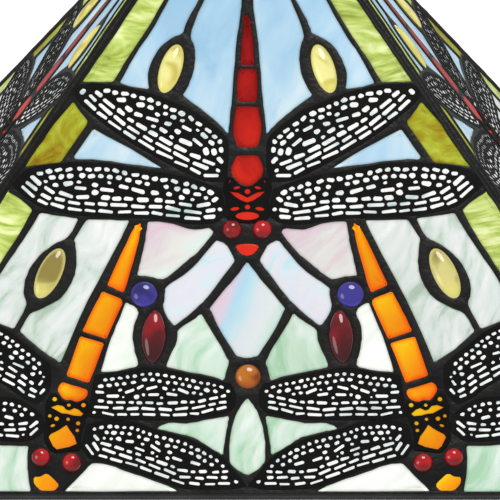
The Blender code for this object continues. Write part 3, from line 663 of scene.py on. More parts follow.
glassFinish = {
    "waviness": 0.7,  # how far one piece's streaks may lean from the next one's, in radians
    "haze": 0.45,
    # painted shade along the leads: how steeply it fades inwards, how strong it is and its colour
    "leadShadeFade": 1.6,
    "margin": 0.5,
    "leadShadeTint": rgb(150, 160, 140),
    "roughness": (0.10, 0.12),  # the least, and what the ripple adds
    "ior": 1.5,
    "specular": 0.22,
    "ripple": (0.35, 0.0005),
}
glassLooks = {
    # stops run across the streaks; turn is how far the streaks lean, in degrees from level;
    # sweep is how much the colour runs along the piece, and swing replaces the waviness
    # lit is the strength of a painted glow in the glass's own colour, standing in for the bulbs' light
    # shining through the shade
    "skyGlass": {
        "stops": [(0.28, rgb(150, 194, 222)), (0.40, rgb(166, 206, 231)), (0.52, rgb(182, 215, 235)),
                  (0.64, rgb(202, 227, 239)), (0.80, rgb(228, 240, 244))],
        "haze": rgb(188, 215, 232), "turn": 68, "scale": 20, "stretch": 2.6, "tones": 0.03, "lit": 0.49,
        "sweep": -0.24,
    },
    "borderGlass": {
        "stops": [(0.28, rgb(118, 136, 36)), (0.40, rgb(158, 178, 74)), (0.50, rgb(186, 206, 108)),
                  (0.57, rgb(210, 224, 138)), (0.68, rgb(240, 246, 190))],
        "haze": rgb(190, 206, 116), "turn": 8, "scale": 52, "stretch": 4.2, "tones": 0.10, "lit": 0.50,
        "sweep": 0.10, "swing": 0.25,
    },
    "oliveGlass": {
        "stops": [(0.30, rgb(132, 88, 16)), (0.40, rgb(158, 136, 28)), (0.50, rgb(168, 168, 44)),
                  (0.62, rgb(184, 194, 62)), (0.76, rgb(208, 214, 92))],
        "haze": rgb(160, 160, 42), "turn": 30, "scale": 84, "stretch": 1.5, "tones": 0.04, "lit": 0.48,
        "sweep": 0.08,
    },
    "opalGlass": {
        "stops": [(0.26, rgb(158, 180, 158)), (0.38, rgb(192, 208, 194)), (0.52, rgb(216, 224, 218)),
                  (0.66, rgb(231, 233, 229)), (0.80, rgb(242, 242, 240))],
        "haze": rgb(216, 224, 222), "turn": 62, "scale": 40, "stretch": 3.4, "tones": 0.04, "lit": 0.51,
        "streak": 1.3, "sweep": 0.16,
    },
    "milkGlass": {
        "stops": [(0.28, rgb(206, 222, 204)), (0.42, rgb(228, 234, 224)), (0.56, rgb(240, 241, 237)),
                  (0.72, rgb(246, 245, 243)), (0.85, rgb(248, 247, 246))],
        "haze": rgb(243, 244, 241), "turn": 56, "scale": 34, "stretch": 3.0, "tones": 0.03, "lit": 0.56,
    },
    "pinkGlass": {
        "stops": [(0.22, rgb(222, 184, 204)), (0.34, rgb(218, 196, 208)), (0.48, rgb(220, 213, 212)),
                  (0.60, rgb(228, 228, 222)), (0.72, rgb(216, 234, 228)), (0.86, rgb(236, 242, 238))],
        "haze": rgb(222, 222, 218), "turn": 40, "scale": 34, "stretch": 3.2, "tones": 0.03, "lit": 0.48,
        "streak": 1.1, "sweep": 0.34,
    },
    "pearlGlass": {
        "stops": [(0.26, rgb(188, 226, 232)), (0.38, rgb(214, 230, 238)), (0.50, rgb(222, 222, 232)),
                  (0.60, rgb(228, 226, 232)), (0.70, rgb(212, 232, 234)), (0.84, rgb(240, 241, 242))],
        "haze": rgb(224, 227, 232), "turn": 42, "scale": 30, "stretch": 4.0, "tones": 0.03, "lit": 0.48,
        "streak": 1.3, "sweep": 0.16,
    },
    "greenGlass": {
        "stops": [(0.26, rgb(152, 200, 158)), (0.38, rgb(184, 216, 188)), (0.52, rgb(208, 228, 210)),
                  (0.66, rgb(228, 238, 228)), (0.80, rgb(240, 243, 238))],
        "haze": rgb(210, 228, 218), "turn": 72, "scale": 32, "stretch": 3.0, "tones": 0.05, "lit": 0.50,
        "streak": 1.3, "sweep": 0.18,
    },
    "kiteGlass": {
        "stops": [(0.04, rgb(226, 190, 208)), (0.22, rgb(220, 200, 216)), (0.34, rgb(170, 214, 234)),
                  (0.44, rgb(186, 222, 234)), (0.56, rgb(218, 225, 228)), (0.78, rgb(224, 229, 229)),
                  (0.94, rgb(190, 224, 208))],
        "haze": rgb(214, 222, 226), "turn": 66, "scale": 30, "stretch": 2.2, "tones": 0.0, "lit": 0.48,
        "streak": 0.35, "sweep": 0.86,
    },
    "wingGlass": {
        "stops": [(0.30, rgb(170, 196, 194)), (0.40, rgb(212, 222, 220)), (0.50, rgb(240, 242, 240)),
                  (0.64, rgb(250, 250, 249))],
        "haze": rgb(240, 242, 239), "turn": 12, "scale": 44, "stretch": 2.6, "tones": 0.03, "lit": 0.56,
    },
    "redGlass": {
        "stops": [(0.24, rgb(118, 18, 20)), (0.36, rgb(146, 24, 26)), (0.50, rgb(176, 32, 28)),
                  (0.62, rgb(212, 44, 30)), (0.78, rgb(234, 54, 34))],
        "haze": rgb(180, 32, 28), "turn": 80, "scale": 34, "stretch": 1.6, "tones": 0.05, "lit": 0.44,
        "streak": 0.55, "sweep": -0.50, "specular": 0.14,
    },
    "orangeGlass": {
        "stops": [(0.22, rgb(253, 216, 34)), (0.40, rgb(246, 180, 22)), (0.58, rgb(240, 148, 20)),
                  (0.78, rgb(238, 106, 26))],
        "haze": rgb(240, 156, 20), "turn": 70, "scale": 30, "stretch": 1.4, "tones": 0.04, "lit": 0.46,
        # the orange glass gets a stronger, red-tinted painted shade along its leads
        "streak": 0.6, "sweep": 0.46, "margin": 0.85, "leadShadeTint": rgb(255, 160, 160), "specular": 0.14,
    },
}


def makeGlass(name, look):
    found, tree, shader = newMaterial(name)
    uv = addNode(tree, "ShaderNodeUVMap", uv_map="panel")
    tone = addNode(tree, "ShaderNodeAttribute", attribute_name="tone")
    streaks = addNode(tree, "ShaderNodeGroup", node_tree=glassStreaks)
    tree.links.new(uv.outputs[0], streaks.inputs["Vector"])
    tree.links.new(tone.outputs["Fac"], streaks.inputs["Piece"])
    # each piece of glass is cut with its own lean
    swing = look.get("swing", glassFinish["waviness"])
    lean = calc(tree, "MULTIPLY_ADD", tone.outputs["Fac"], swing, -math.radians(look["turn"]) - swing / 2)
    tree.links.new(lean, streaks.inputs["Turn"])
    streaks.inputs["Scale"].default_value = look["scale"]
    streaks.inputs["Stretch"].default_value = look["stretch"]
    sweep = addNode(tree, "ShaderNodeAttribute", attribute_name="sweep")
    strength, reach = look.get("streak", 1.0), look.get("sweep", 0.0)
    factor = calc(tree, "MULTIPLY_ADD", streaks.outputs["Streaks"], strength, (1 - strength - reach) / 2)
    factor = calc(tree, "MULTIPLY_ADD", sweep.outputs["Fac"], reach, factor)
    colour = ramp(tree, factor, look["stops"])
    hazy = calc(tree, "MULTIPLY", streaks.outputs["Haze"], glassFinish["haze"])
    colour = mixColours(tree, hazy, colour, (*look["haze"], 1))
    spread = calc(tree, "MULTIPLY_ADD", tone.outputs["Fac"], 2 * look["tones"], 1 - look["tones"])
    shade = addNode(tree, "ShaderNodeCombineColor")
    for i in range(3):
        tree.links.new(spread, shade.inputs[i])
    colour = mixColours(tree, 1.0, colour, shade.outputs[0], "MULTIPLY")
    # painted shade along the leads: the glass darkens towards its outline, where the attribute "edge" rises
    # to 1
    edge = addNode(tree, "ShaderNodeAttribute", attribute_name="edge")
    leadShadeFalloff = calc(tree, "POWER", edge.outputs["Fac"], glassFinish["leadShadeFade"])
    margin = calc(tree, "MULTIPLY", leadShadeFalloff, look.get("margin", glassFinish["margin"]))
    leadShadeColour = look.get("leadShadeTint", glassFinish["leadShadeTint"])
    colour = mixColours(tree, margin, colour, (*leadShadeColour, 1), "MULTIPLY")
    tree.links.new(colour, shader.inputs["Base Color"])
    # painted glow: the glass's colour also shines at the strength lit, for the bulbs' light coming through it
    tree.links.new(colour, shader.inputs["Emission Color"])
    shader.inputs["Emission Strength"].default_value = look["lit"]
    least, added = glassFinish["roughness"]
    roughness = calc(tree, "MULTIPLY_ADD", streaks.outputs["Ripple"], added, least)
    tree.links.new(roughness, shader.inputs["Roughness"])
    shader.inputs["IOR"].default_value = glassFinish["ior"]
    shader.inputs["Specular IOR Level"].default_value = look.get("specular", glassFinish["specular"])
    bumped(tree, shader, streaks.outputs["Ripple"], *glassFinish["ripple"])
    return found


materials = {name: makeGlass(name, look) for name, look in glassLooks.items()}

jewelFinish = {
    "veins": {"Scale": 75.0, "Detail": 1.0, "Distortion": 0.4},
    "veinStops": (0.36, 0.58),
    # where on the dome the painted shade of the rim begins and where it is full
    "rimShadeStops": (0.70, 0.98),
    "gloss": {"Roughness": 0.07, "IOR": 1.52, "Coat Weight": 1.0, "Coat Roughness": 0.05},
    "ripple": (0.08, 0.0008),
}
jewelLooks = {
    # the rim, the body and the streak of each cast jewel, its foot and how far that colour climbs; the foot,
    # darker on most jewels, is painted shade on the dome's lower end
    "yellowJewel": {"rim": rgb(228, 218, 116), "body": rgb(246, 240, 156), "streak": rgb(206, 190, 84),
                    "foot": rgb(238, 228, 118), "footShadeClimb": 0.3, "lit": 0.46},
    "oliveJewel": {"rim": rgb(214, 206, 124), "body": rgb(222, 212, 132), "streak": rgb(150, 134, 66),
                   "foot": rgb(232, 222, 120), "footShadeClimb": 0.4, "lit": 0.44},
    "blueJewel": {"rim": rgb(62, 54, 150), "body": rgb(64, 56, 148), "streak": rgb(44, 38, 112),
                  "foot": rgb(56, 50, 140), "footShadeClimb": 0.4, "lit": 0.40},
    "wineJewel": {"rim": rgb(64, 14, 20), "body": rgb(168, 16, 32), "streak": rgb(112, 12, 22),
                  "foot": rgb(58, 8, 14), "footShadeClimb": 0.9, "lit": 0.36},
    "amberJewel": {"rim": rgb(140, 66, 14), "body": rgb(200, 118, 26), "streak": rgb(128, 54, 14),
                   "foot": rgb(170, 84, 18), "footShadeClimb": 0.5, "lit": 0.40},
    "rubyJewel": {"rim": rgb(96, 8, 14), "body": rgb(192, 18, 26), "streak": rgb(122, 8, 14),
                  "foot": rgb(104, 6, 12), "footShadeClimb": 0.5, "lit": 0.42},
}


def makeJewel(name, look):
    found, tree, shader = newMaterial(name)
    place = addNode(tree, "ShaderNodeTexCoord")
    edge = addNode(tree, "ShaderNodeAttribute", attribute_name="rim")
    noise = addNode(tree, "ShaderNodeTexNoise")
    for title, value in jewelFinish["veins"].items():
        noise.inputs[title].default_value = value
    tree.links.new(place.outputs["Object"], noise.inputs["Vector"])
    veins = list(zip(jewelFinish["veinStops"], (look["streak"], look["body"])))
    colour = ramp(tree, noise.outputs["Fac"], veins, "EASE")
    # painted shade on the lower end of each dome: the foot colour, darker on most jewels, rises from the
    # bottom as far as its climb share
    rise = addNode(tree, "ShaderNodeAttribute", attribute_name="rise")
    low = ramp(tree, rise.outputs["Fac"], [(0.0, (1, 1, 1)), (look["footShadeClimb"], (0, 0, 0))], "EASE")
    colour = mixColours(tree, low, colour, (*look["foot"], 1))
    # painted shade at the dome's edge: the colour turns to the darker rim colour near the jewel's outline
    rimShadeStops = list(zip(jewelFinish["rimShadeStops"], ((0, 0, 0), (1, 1, 1))))
    rimShade = ramp(tree, edge.outputs["Fac"], rimShadeStops, "EASE")
    colour = mixColours(tree, rimShade, colour, (*look["rim"], 1))
    tree.links.new(colour, shader.inputs["Base Color"])
    # painted glow: the jewel's colour also shines at the strength lit, for the bulbs' light coming through it
    tree.links.new(colour, shader.inputs["Emission Color"])
    shader.inputs["Emission Strength"].default_value = look["lit"]
    for title, value in jewelFinish["gloss"].items():
        shader.inputs[title].default_value = value
    bumped(tree, shader, noise.outputs["Fac"], *jewelFinish["ripple"])
    return found


materials.update({name: makeJewel(name, look) for name, look in jewelLooks.items()})

metalFinish = {"stops": (0.35, 0.68), "wearAndSheenEdges": 0.6, "specular": 0.5, "bumpDepth": 0.0006}
metalLooks = {
    # the leads' light edge colour is partly wear and partly a painted sheen along the solder
    "leading": {"dark": rgb(12, 12, 13), "light": rgb(34, 33, 32), "edge": rgb(62, 60, 57), "metallic": 0.0,
                "specular": 0.35, "roughness": (0.28, 0.46), "patches": 60, "grain": 420, "bump": 0.5},
    "wingPlate": {"dark": rgb(12, 12, 12), "light": rgb(25, 24, 24), "edge": rgb(40, 39, 38), "metallic": 0.0,
                  "specular": 0.11, "roughness": (0.42, 0.60), "patches": 80, "grain": 600, "bump": 0.25},
    "rimBand": {"dark": rgb(58, 58, 60), "light": rgb(78, 79, 81), "edge": rgb(98, 98, 100), "metallic": 0.0,
                "specular": 0.2, "roughness": (0.38, 0.56), "patches": 60, "grain": 420, "bump": 0.4},
    "rimMetal": {"dark": rgb(124, 124, 126), "light": rgb(162, 162, 164), "edge": rgb(196, 196, 196),
                 "metallic": 0.75, "roughness": (0.34, 0.5), "patches": 60, "grain": 420, "bump": 0.3},
    "bronze": {"dark": rgb(42, 28, 18), "light": rgb(92, 62, 38), "edge": rgb(150, 108, 66), "metallic": 0.85,
               "roughness": (0.34, 0.55), "patches": 26, "grain": 300, "bump": 0.3},
    "brass": {"dark": rgb(150, 112, 52), "light": rgb(206, 168, 92), "edge": rgb(232, 204, 140),
              "metallic": 1.0, "roughness": (0.22, 0.38), "patches": 60, "grain": 500, "bump": 0.12},
    "steel": {"dark": rgb(150, 150, 150), "light": rgb(190, 190, 188), "edge": rgb(220, 220, 218),
              "metallic": 1.0, "roughness": (0.24, 0.4), "patches": 60, "grain": 500, "bump": 0.1},
}


def makeMetal(name, look):
    found, tree, shader = newMaterial(name)
    place = addNode(tree, "ShaderNodeTexCoord")
    wearAndSheenNode = addNode(tree, "ShaderNodeGroup", node_tree=metalWearAndSheen)
    tree.links.new(place.outputs["Object"], wearAndSheenNode.inputs["Vector"])
    wearAndSheenNode.inputs["Patch Scale"].default_value = look["patches"]
    wearAndSheenNode.inputs["Grain Scale"].default_value = look["grain"]
    patches = list(zip(metalFinish["stops"], (look["dark"], look["light"])))
    colour = ramp(tree, wearAndSheenNode.outputs["Patches"], patches)
    # lighter convex edges: wear on the bronze and brass, and on the leads partly a painted sheen
    edgeWearAndSheen = calc(tree, "MULTIPLY", wearAndSheenNode.outputs["Edges"], metalFinish["wearAndSheenEdges"])
    colour = mixColours(tree, edgeWearAndSheen, colour, (*look["edge"], 1))
    tree.links.new(colour, shader.inputs["Base Color"])
    shader.inputs["Metallic"].default_value = look["metallic"]
    shader.inputs["Specular IOR Level"].default_value = look.get("specular", metalFinish["specular"])
    low, high = look["roughness"]
    roughness = calc(tree, "MULTIPLY_ADD", wearAndSheenNode.outputs["Grain"], high - low, low)
    tree.links.new(roughness, shader.inputs["Roughness"])
    bumped(tree, shader, wearAndSheenNode.outputs["Grain"], look["bump"], metalFinish["bumpDepth"])
    return found


materials.update({name: makeMetal(name, look) for name, look in metalLooks.items()})

plainFinish = {"detail": 6.0, "stops": (0.35, 0.65), "roughened": 0.15, "bumpDepth": 0.0005}
plainLooks = {
    "felt": {"dark": rgb(26, 40, 30), "light": rgb(48, 66, 50), "roughness": 0.8, "scale": 900, "bump": 0.9},
    "plastic": {"dark": rgb(18, 17, 16), "light": rgb(34, 32, 30), "roughness": 0.34, "scale": 500,
                "bump": 0.1},
    "bulb": {"dark": rgb(255, 228, 180), "light": rgb(255, 240, 208), "roughness": 0.5, "scale": 60,
             "bump": 0.05, "lit": 2.2},
}


def makePlain(name, look):
    # two close tones in a fine grain
    found, tree, shader = newMaterial(name)
    place = addNode(tree, "ShaderNodeTexCoord")
    noise = addNode(tree, "ShaderNodeTexNoise")
    noise.inputs["Scale"].default_value = look["scale"]
    noise.inputs["Detail"].default_value = plainFinish["detail"]
    tree.links.new(place.outputs["Object"], noise.inputs["Vector"])
    grain = list(zip(plainFinish["stops"], (look["dark"], look["light"])))
    colour = ramp(tree, noise.outputs["Fac"], grain)
    tree.links.new(colour, shader.inputs["Base Color"])
    roughness = calc(tree, "MULTIPLY_ADD", noise.outputs["Fac"], plainFinish["roughened"], look["roughness"])
    tree.links.new(roughness, shader.inputs["Roughness"])
    if "lit" in look:
        tree.links.new(colour, shader.inputs["Emission Color"])
        shader.inputs["Emission Strength"].default_value = look["lit"]
    bumped(tree, shader, noise.outputs["Fac"], look["bump"], plainFinish["bumpDepth"])
    return found


materials.update({name: makePlain(name, look) for name, look in plainLooks.items()})
print("materials ready:", len(materials))


# Mesh helpers

def deselectAll():
    bpy.ops.object.select_all(action="DESELECT")


def pick(obj):
    deselectAll()
    obj.select_set(True)
    bpy.context.view_layer.objects.active = obj
    return obj


def cleaned(obj):
    # doubles merged and faces turned outwards
    pick(obj)
    bpy.ops.object.mode_set(mode="EDIT")
    bpy.ops.mesh.select_all(action="SELECT")
    bpy.ops.mesh.remove_doubles(threshold=0.01 * mm)
    bpy.ops.mesh.normals_make_consistent(inside=False)
    bpy.ops.object.mode_set(mode="OBJECT")
    return obj


def joined(name, objects):
    deselectAll()
    for obj in objects:
        obj.select_set(True)
    bpy.context.view_layer.objects.active = objects[0]
    if len(objects) > 1:
        bpy.ops.object.join()
    obj = bpy.context.view_layer.objects.active
    obj.name = obj.data.name = name
    return obj


def insideLoops(points, loops):
    # true where a point lies inside an odd number of the loops
    hit = numpy.zeros(len(points), bool)
    for loop in loops:
        starts = numpy.array(loop)
        ends = numpy.roll(starts, -1, axis=0)
        rise = numpy.where(ends[:, 1] == starts[:, 1], 1e-12, ends[:, 1] - starts[:, 1])
        y = points[:, 1][:, None]
        crossing = (starts[:, 1] > y) != (ends[:, 1] > y)
        reach = starts[:, 0] + (y - starts[:, 1]) / rise * (ends[:, 0] - starts[:, 0])
        hit ^= (crossing & (points[:, 0][:, None] < reach)).sum(1) % 2 == 1
    return hit


def flatPiece(loops, low, high, bevel, steps=1, band=0):
    # a plate with rounded edges between two heights over the panel, in mm: its outline, then its openings
    # a band marks the plate's margin in the attribute "edge", 1 along the outline and 0 inside; the glass
    # materials use it to paint shade along the leads
    turned = [loop if (winding(loop) > 0) == (i == 0) else loop[::-1] for i, loop in enumerate(loops)]
    angles = [math.pi / 2 * k / (steps + 1) for k in range(steps + 2)]
    sections = [(1 - math.sin(a), low + bevel * (1 - math.cos(a))) for a in angles]
    sections += [(1 - math.sin(a), high - bevel * (1 - math.cos(a))) for a in reversed(angles)]
    if band:
        sections.insert(0, (1 + band / bevel, low))
        sections.append((1 + band / bevel, high))
    points, faces, firsts = [], [], []
    for i, loop in enumerate(turned):
        firsts.append(len(points))
        for share, height in sections:
            ring = widened(loop, bevel * share * (-1 if i == 0 else 1))
            points += [(x, y, height * mm) for x, y in ring]
        count = len(loop)
        for k in range(len(sections) - 1):
            base = firsts[-1] + k * count
            faces += [(base + j, base + (j + 1) % count, base + count + (j + 1) % count, base + count + j)
                      for j in range(count)]
    flat, edges, owner, rims = [], [], [], []
    for first, loop in zip(firsts, turned):
        start, count = len(flat), len(loop)
        rims.append([(x / mm, y / mm) for x, y, z in points[first:first + count]])
        flat += [Vector(p) for p in rims[-1]]
        owner += [(first + j, first + (len(sections) - 1) * count + j) for j in range(count)]
        edges += [(start + j, start + (j + 1) % count) for j in range(count)]
    spots, _, triangles, origins, _, _ = geometry.delaunay_2d_cdt(flat, edges, [], 0, 1e-6, True)
    ends = []
    for spot, origin in zip(spots, origins):
        if origin:
            ends.append(owner[origin[0]])
            continue
        ends.append((len(points), len(points) + 1))
        points += [(spot.x * mm, spot.y * mm, low * mm), (spot.x * mm, spot.y * mm, high * mm)]
    middles = numpy.array([sum((spots[i] for i in t), Vector((0, 0))) / 3 for t in triangles])
    for triangle, kept in zip(triangles, insideLoops(middles, rims)):
        if kept:
            if winding([tuple(spots[i]) for i in triangle]) < 0:
                triangle = triangle[::-1]
            faces += [tuple(ends[i][1] for i in triangle), tuple(ends[i][0] for i in triangle[::-1])]
    mesh = bpy.data.meshes.new("plate")
    mesh.from_pydata(points, [], faces)
    if band:
        edge = numpy.ones(len(points), numpy.float32)
        for first, loop in zip(firsts, turned):
            edge[first:first + len(loop)] = 0
            last = first + (len(sections) - 1) * len(loop)
            edge[last:last + len(loop)] = 0
        mesh.attributes.new("edge", "FLOAT", "POINT").data.foreach_set("value", edge)
    obj = bpy.data.objects.new("plate", mesh)
    bpy.context.scene.collection.objects.link(obj)
    return obj


def toned(obj, value):
    # a number from 0 to 1 for each piece of glass, which its material reads
    tone = obj.data.attributes.new("tone", "FLOAT", "FACE")
    tone.data.foreach_set("value", [value] * len(obj.data.polygons))
    return obj


def swept(obj, lean, span=None):
    # a number that runs from 0 to 1 in this direction, in degrees from level, over the piece or a span in mm
    flat = numpy.zeros(len(obj.data.vertices) * 3)
    obj.data.vertices.foreach_get("co", flat)
    run = flat.reshape(-1, 3)[:, :2] @ (math.cos(math.radians(lean)), math.sin(math.radians(lean))) / mm
    low, high = span or (run.min(), run.max())
    sweep = obj.data.attributes.new("sweep", "FLOAT", "POINT")
    sweep.data.foreach_set("value", ((run - low) / (high - low)).astype(numpy.float32))
    return obj


def smoothed(obj, angle=40):
    pick(obj)
    bpy.ops.object.shade_smooth_by_angle(angle=math.radians(angle))
    return obj


def rounded(obj, width, segments=2, angle=30):
    # bevels what bends more than this many degrees
    rounding = obj.modifiers.new("rounding", "BEVEL")
    rounding.width = width
    rounding.segments = segments
    rounding.limit_method = "ANGLE"
    rounding.angle_limit = math.radians(angle)
    pick(obj)
    bpy.ops.object.modifier_apply(modifier=rounding.name)
    return smoothed(obj)


def given(obj, body, slot, material, *nodes):
    # finishes a piece: its material, the body it rides on, its slot, which is not used, and the nodes it
    # stands for
    obj.data.materials.clear()
    obj.data.materials.append(materials[material])
    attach(obj, body)
    if nodes:
        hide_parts(*nodes)
    return obj


# One panel, laid flat and copied to the four sides. Each layer has its low and high face and its bevel, mm.
layers = {
    "lead": (-2.4, 0.6, 0.65),
    "glass": (-2.1, -0.1, 0.3),
    "wingGlass": (-2.1, 0.5, 0.2),
    "tail": (-2.1, 0.65, 0.8),
    "wingPlate": (0.3, 0.8, 0.14),
    "bodyPlate": (0.3, 1.05, 0.22),
    # painted shade: the glass darkens in a band this wide along its leads, and wider on the tails
    "paintedShadeBand": 1.7,  # the darker band of glass along its leads, mm
    "tailShadeBand": 2.4,
    "glassGrip": 0.35,  # how far glass runs into the lead, mm
    "wingOpening": 0.9,
    "wingBorder": 1.75,
    "leadFoot": -1.25,  # the leads run from inside the rim to under the cap
    "leadHead": 297,
    "toneSeed": 23,
    "creases": {"plate": 22, "jewel": 70},
    "sideShift": (0.61, 0.37),  # moves each side to its own part of the streaks
}
toneRng = random.Random(layers["toneSeed"])


def cut(loop, shake=outlines["wobble"]):
    return onPanel(handCut(loop, shake))


def widened(loop, reach):
    # on loops in metres
    return grown(loop, reach * mm)


templates = {}
leadOpenings = []


# How the colour of each kind of glass runs over its pieces: the direction, and the span where it is shared
sweeps = {
    "sky": (90, (180, 288)), "border": (80,), "olive": (70,), "opal": (35,), "milk": (20,), "pink": (-50,),
    "pearl": (-35,), "green": (15,), "kite": (-21,), "redTail": (90, (150, 262)), "orangeTail": (-40,),
    "wingGlass": (10,),
}


def glassSet(name, loops, layer="glass"):
    made = []
    for loop in loops:
        shaped = cut(loop)
        leadOpenings.append(shaped)
        sheet = flatPiece([widened(shaped, layers["glassGrip"])], *layers[layer],
                          band=layers["tailShadeBand" if layer == "tail" else "paintedShadeBand"])
        made.append(swept(toned(sheet, toneRng.random()), *sweeps[name]))
    templates[name] = joined(name, made)


for kind, loops in glassPieces.items():
    whole = [wholeOf(middlePieces["tear"])] if kind == "green" else []
    glassSet(kind, bothSides(loops) + whole)
glassSet("kite", [wholeOf(middlePieces["kite"])])
glassSet("redTail", [wholeOf(loop) for loop in redTail], "tail")
glassSet("orangeTail", bothSides(orangeTail), "tail")
print("glass cut:", len(leadOpenings), "pieces")

wingMetal = {"red": [], "orange": []}
wingSheets = []
for name, (field, slots) in wingFields.items():
    for flip in (False, True):
        turned = mirrored if flip else list
        border = handCut(grown(turned(field), layers["wingBorder"]), outlines["steadyWobble"])
        border = onPanel(border, panel["plateInset"])
        holes = [onPanel(turned(slot), 0) for slot in slots]
        wingMetal[wings[name]["roots"]].append(flatPiece([border] + holes, *layers["wingPlate"], steps=0))
        opening = onPanel(grown(turned(field), layers["wingOpening"]), panel["openingInset"])
        leadOpenings.append(opening)
        sheet = widened(opening, layers["glassGrip"])
        sheet = toned(flatPiece([sheet], *layers["wingGlass"]), toneRng.random())
        wingSheets.append(swept(sheet, *sweeps["wingGlass"]))
templates["wingGlass"] = joined("wingGlass", wingSheets)
print("wings made")

# The pierced bodies: a plate with windows over coloured glass
bodies = {
    "red": {
        "outline": wholeOf([(0, 166.2), (-4.2, 167.6), (-7.7, 171.2), (-10.5, 171.8), (-12.6, 166),
                            (-11.2, 158), (-11.6, 150), (-8.5, 146.9), (0, 145.9)]),
        "opening": wholeOf([(0, 165), (-3.9, 166), (-6.6, 168.6), (-8.7, 169.6), (-9.7, 166), (-9.4, 160),
                            (-9, 155), (-9.2, 150.6), (-7.6, 148.2), (0, 147.3)]),
        "windows": [
            oval((0.1, 163.5), 1.5, 1.5, 0, 10),
            [(-9.0, 163.4), (-4.9, 162.9), (0, 160.2), (4.9, 162.9), (9.2, 163.7), (6.6, 161), (3.2, 158.6),
             (0, 157.4), (-3.2, 158.6), (-6.4, 160.8)],
            oval((0.1, 154.9), 1.4, 1.4, 0, 10),
            oval((-6.4, 153.9), 2.4, 1.05, 80, 10), oval((6.4, 153.9), 2.4, 1.05, 100, 10),
            oval((-5.4, 165.6), 1.8, 0.8, 75, 10), oval((5.4, 165.6), 1.8, 0.8, 105, 10),
            [(-9.9, 170), (-8.3, 169.8), (-9.6, 167.6)], [(9.9, 170), (9.6, 167.6), (8.3, 169.8)],
            oval((0, 150), 6.1, 2.3, 90, 16),
        ],
        "eyes": [((-7.7, 142.5), 5.2), ((7.7, 142.5), 5.2)],
        "face": [(-6, 133.6), (-3, 134.4), (0, 134.6), (3, 134.4), (6, 133.6), (4.6, 131), (2.4, 129),
                 (0, 128.3), (-2.4, 129), (-4.6, 131)],
    },
    "orange": {
        "outline": [(-99, 53.4), (-96.7, 53), (-94.6, 50), (-93.6, 49), (-91.8, 48.5), (-89, 48.9),
                    (-86.5, 47.5), (-84.5, 48.4), (-82, 49.4), (-80.3, 48.3), (-80.1, 44), (-81.3, 40),
                    (-82.7, 36), (-83.8, 32), (-84, 27), (-84, 22.4), (-90, 21.9), (-97, 21),
                    (-100.3, 23.5), (-102.8, 29), (-102.6, 36), (-102.2, 41), (-102.4, 46), (-101, 50.5)],
        "opening": [(-98.6, 51.6), (-96.6, 51.4), (-94.6, 48.4), (-91.5, 47.2), (-88.6, 47.6), (-86, 46.3),
                    (-83.6, 48.1), (-81.7, 48), (-81.6, 44), (-82.7, 40), (-83.8, 37), (-84.8, 32),
                    (-85.3, 27), (-85.5, 24.2), (-90, 23.2), (-96.5, 22.4), (-99.2, 24.7), (-101, 29),
                    (-101, 36),
                    (-100.8, 41), (-100.9, 46), (-100, 49.8)],
        "windows": [
            oval((-97.6, 50), 1.2, 1.2, 0, 10), oval((-90.4, 46.8), 0.95, 0.95, 0, 8),
            oval((-83, 46.8), 1.2, 1.2, 0, 10), oval((-100, 41), 0.95, 0.95, 0, 8),
            oval((-96.5, 39.5), 1.2, 1.2, 0, 10), oval((-90.7, 39.2), 0.9, 0.9, 0, 8),
            oval((-85.6, 37), 1.1, 1.1, 0, 10), oval((-98.4, 35.8), 1.25, 0.75, 70, 8),
            oval((-86, 33.2), 0.95, 0.95, 0, 8),
            [(-99.5, 45.6), (-96, 46.9), (-93.3, 46.3), (-91.8, 44.4), (-90, 43.9), (-87.6, 45.2),
             (-85.6, 44.5), (-83, 42.1), (-84.3, 40.9), (-88, 41.2), (-91, 42.1), (-94, 42.4), (-96.5, 43.9)],
            [(-91.5, 36.2), (-89.6, 33), (-87.4, 30), (-86.2, 26), (-90, 24.3), (-96.2, 23), (-98.2, 24.8),
             (-100.4, 29.6), (-99.4, 31.2), (-95, 33.6)],
        ],
        "eyes": [((-104.2, 18.8), 5.0), ((-88.6, 16), 5.2)],
        "face": [(-107.6, 8.2), (-104, 8.5), (-102, 9.8), (-100.5, 9.8), (-97, 6.4), (-95, 4), (-97, 1.3),
                 (-104, 1.3), (-107.2, 5)],
    },
}
bodyGlass = {}
for name, body in bodies.items():
    sheets = []
    for flip in ((False,) if name == "red" else (False, True)):
        turned = mirrored if flip else list
        outline = cut(turned(body["outline"]), outlines["steadyWobble"])
        windows = [onPanel(turned(window)) for window in body["windows"]]
        wingMetal[name].append(flatPiece([outline] + windows, *layers["bodyPlate"], steps=1))
        opening = onPanel(turned(body["opening"]))
        leadOpenings.append(opening)
        face = cut(turned(body["face"]), outlines["steadyWobble"])
        leadOpenings.append(face)
        for loop, layer, steps in ((opening, "wingGlass", 1), (face, "tail", 3)):
            sheet = flatPiece([widened(loop, layers["glassGrip"])], *layers[layer], steps=steps)
            sheets.append(swept(toned(sheet, toneRng.random()), *sweeps[name + "Tail"]))
    bodyGlass[name] = sheets
for name in ("red", "orange"):
    templates[name + "Wings"] = joined(name + "Wings", wingMetal[name])
    templates[name + "Tail"] = joined(name + "Tail", [templates[name + "Tail"]] + bodyGlass[name])

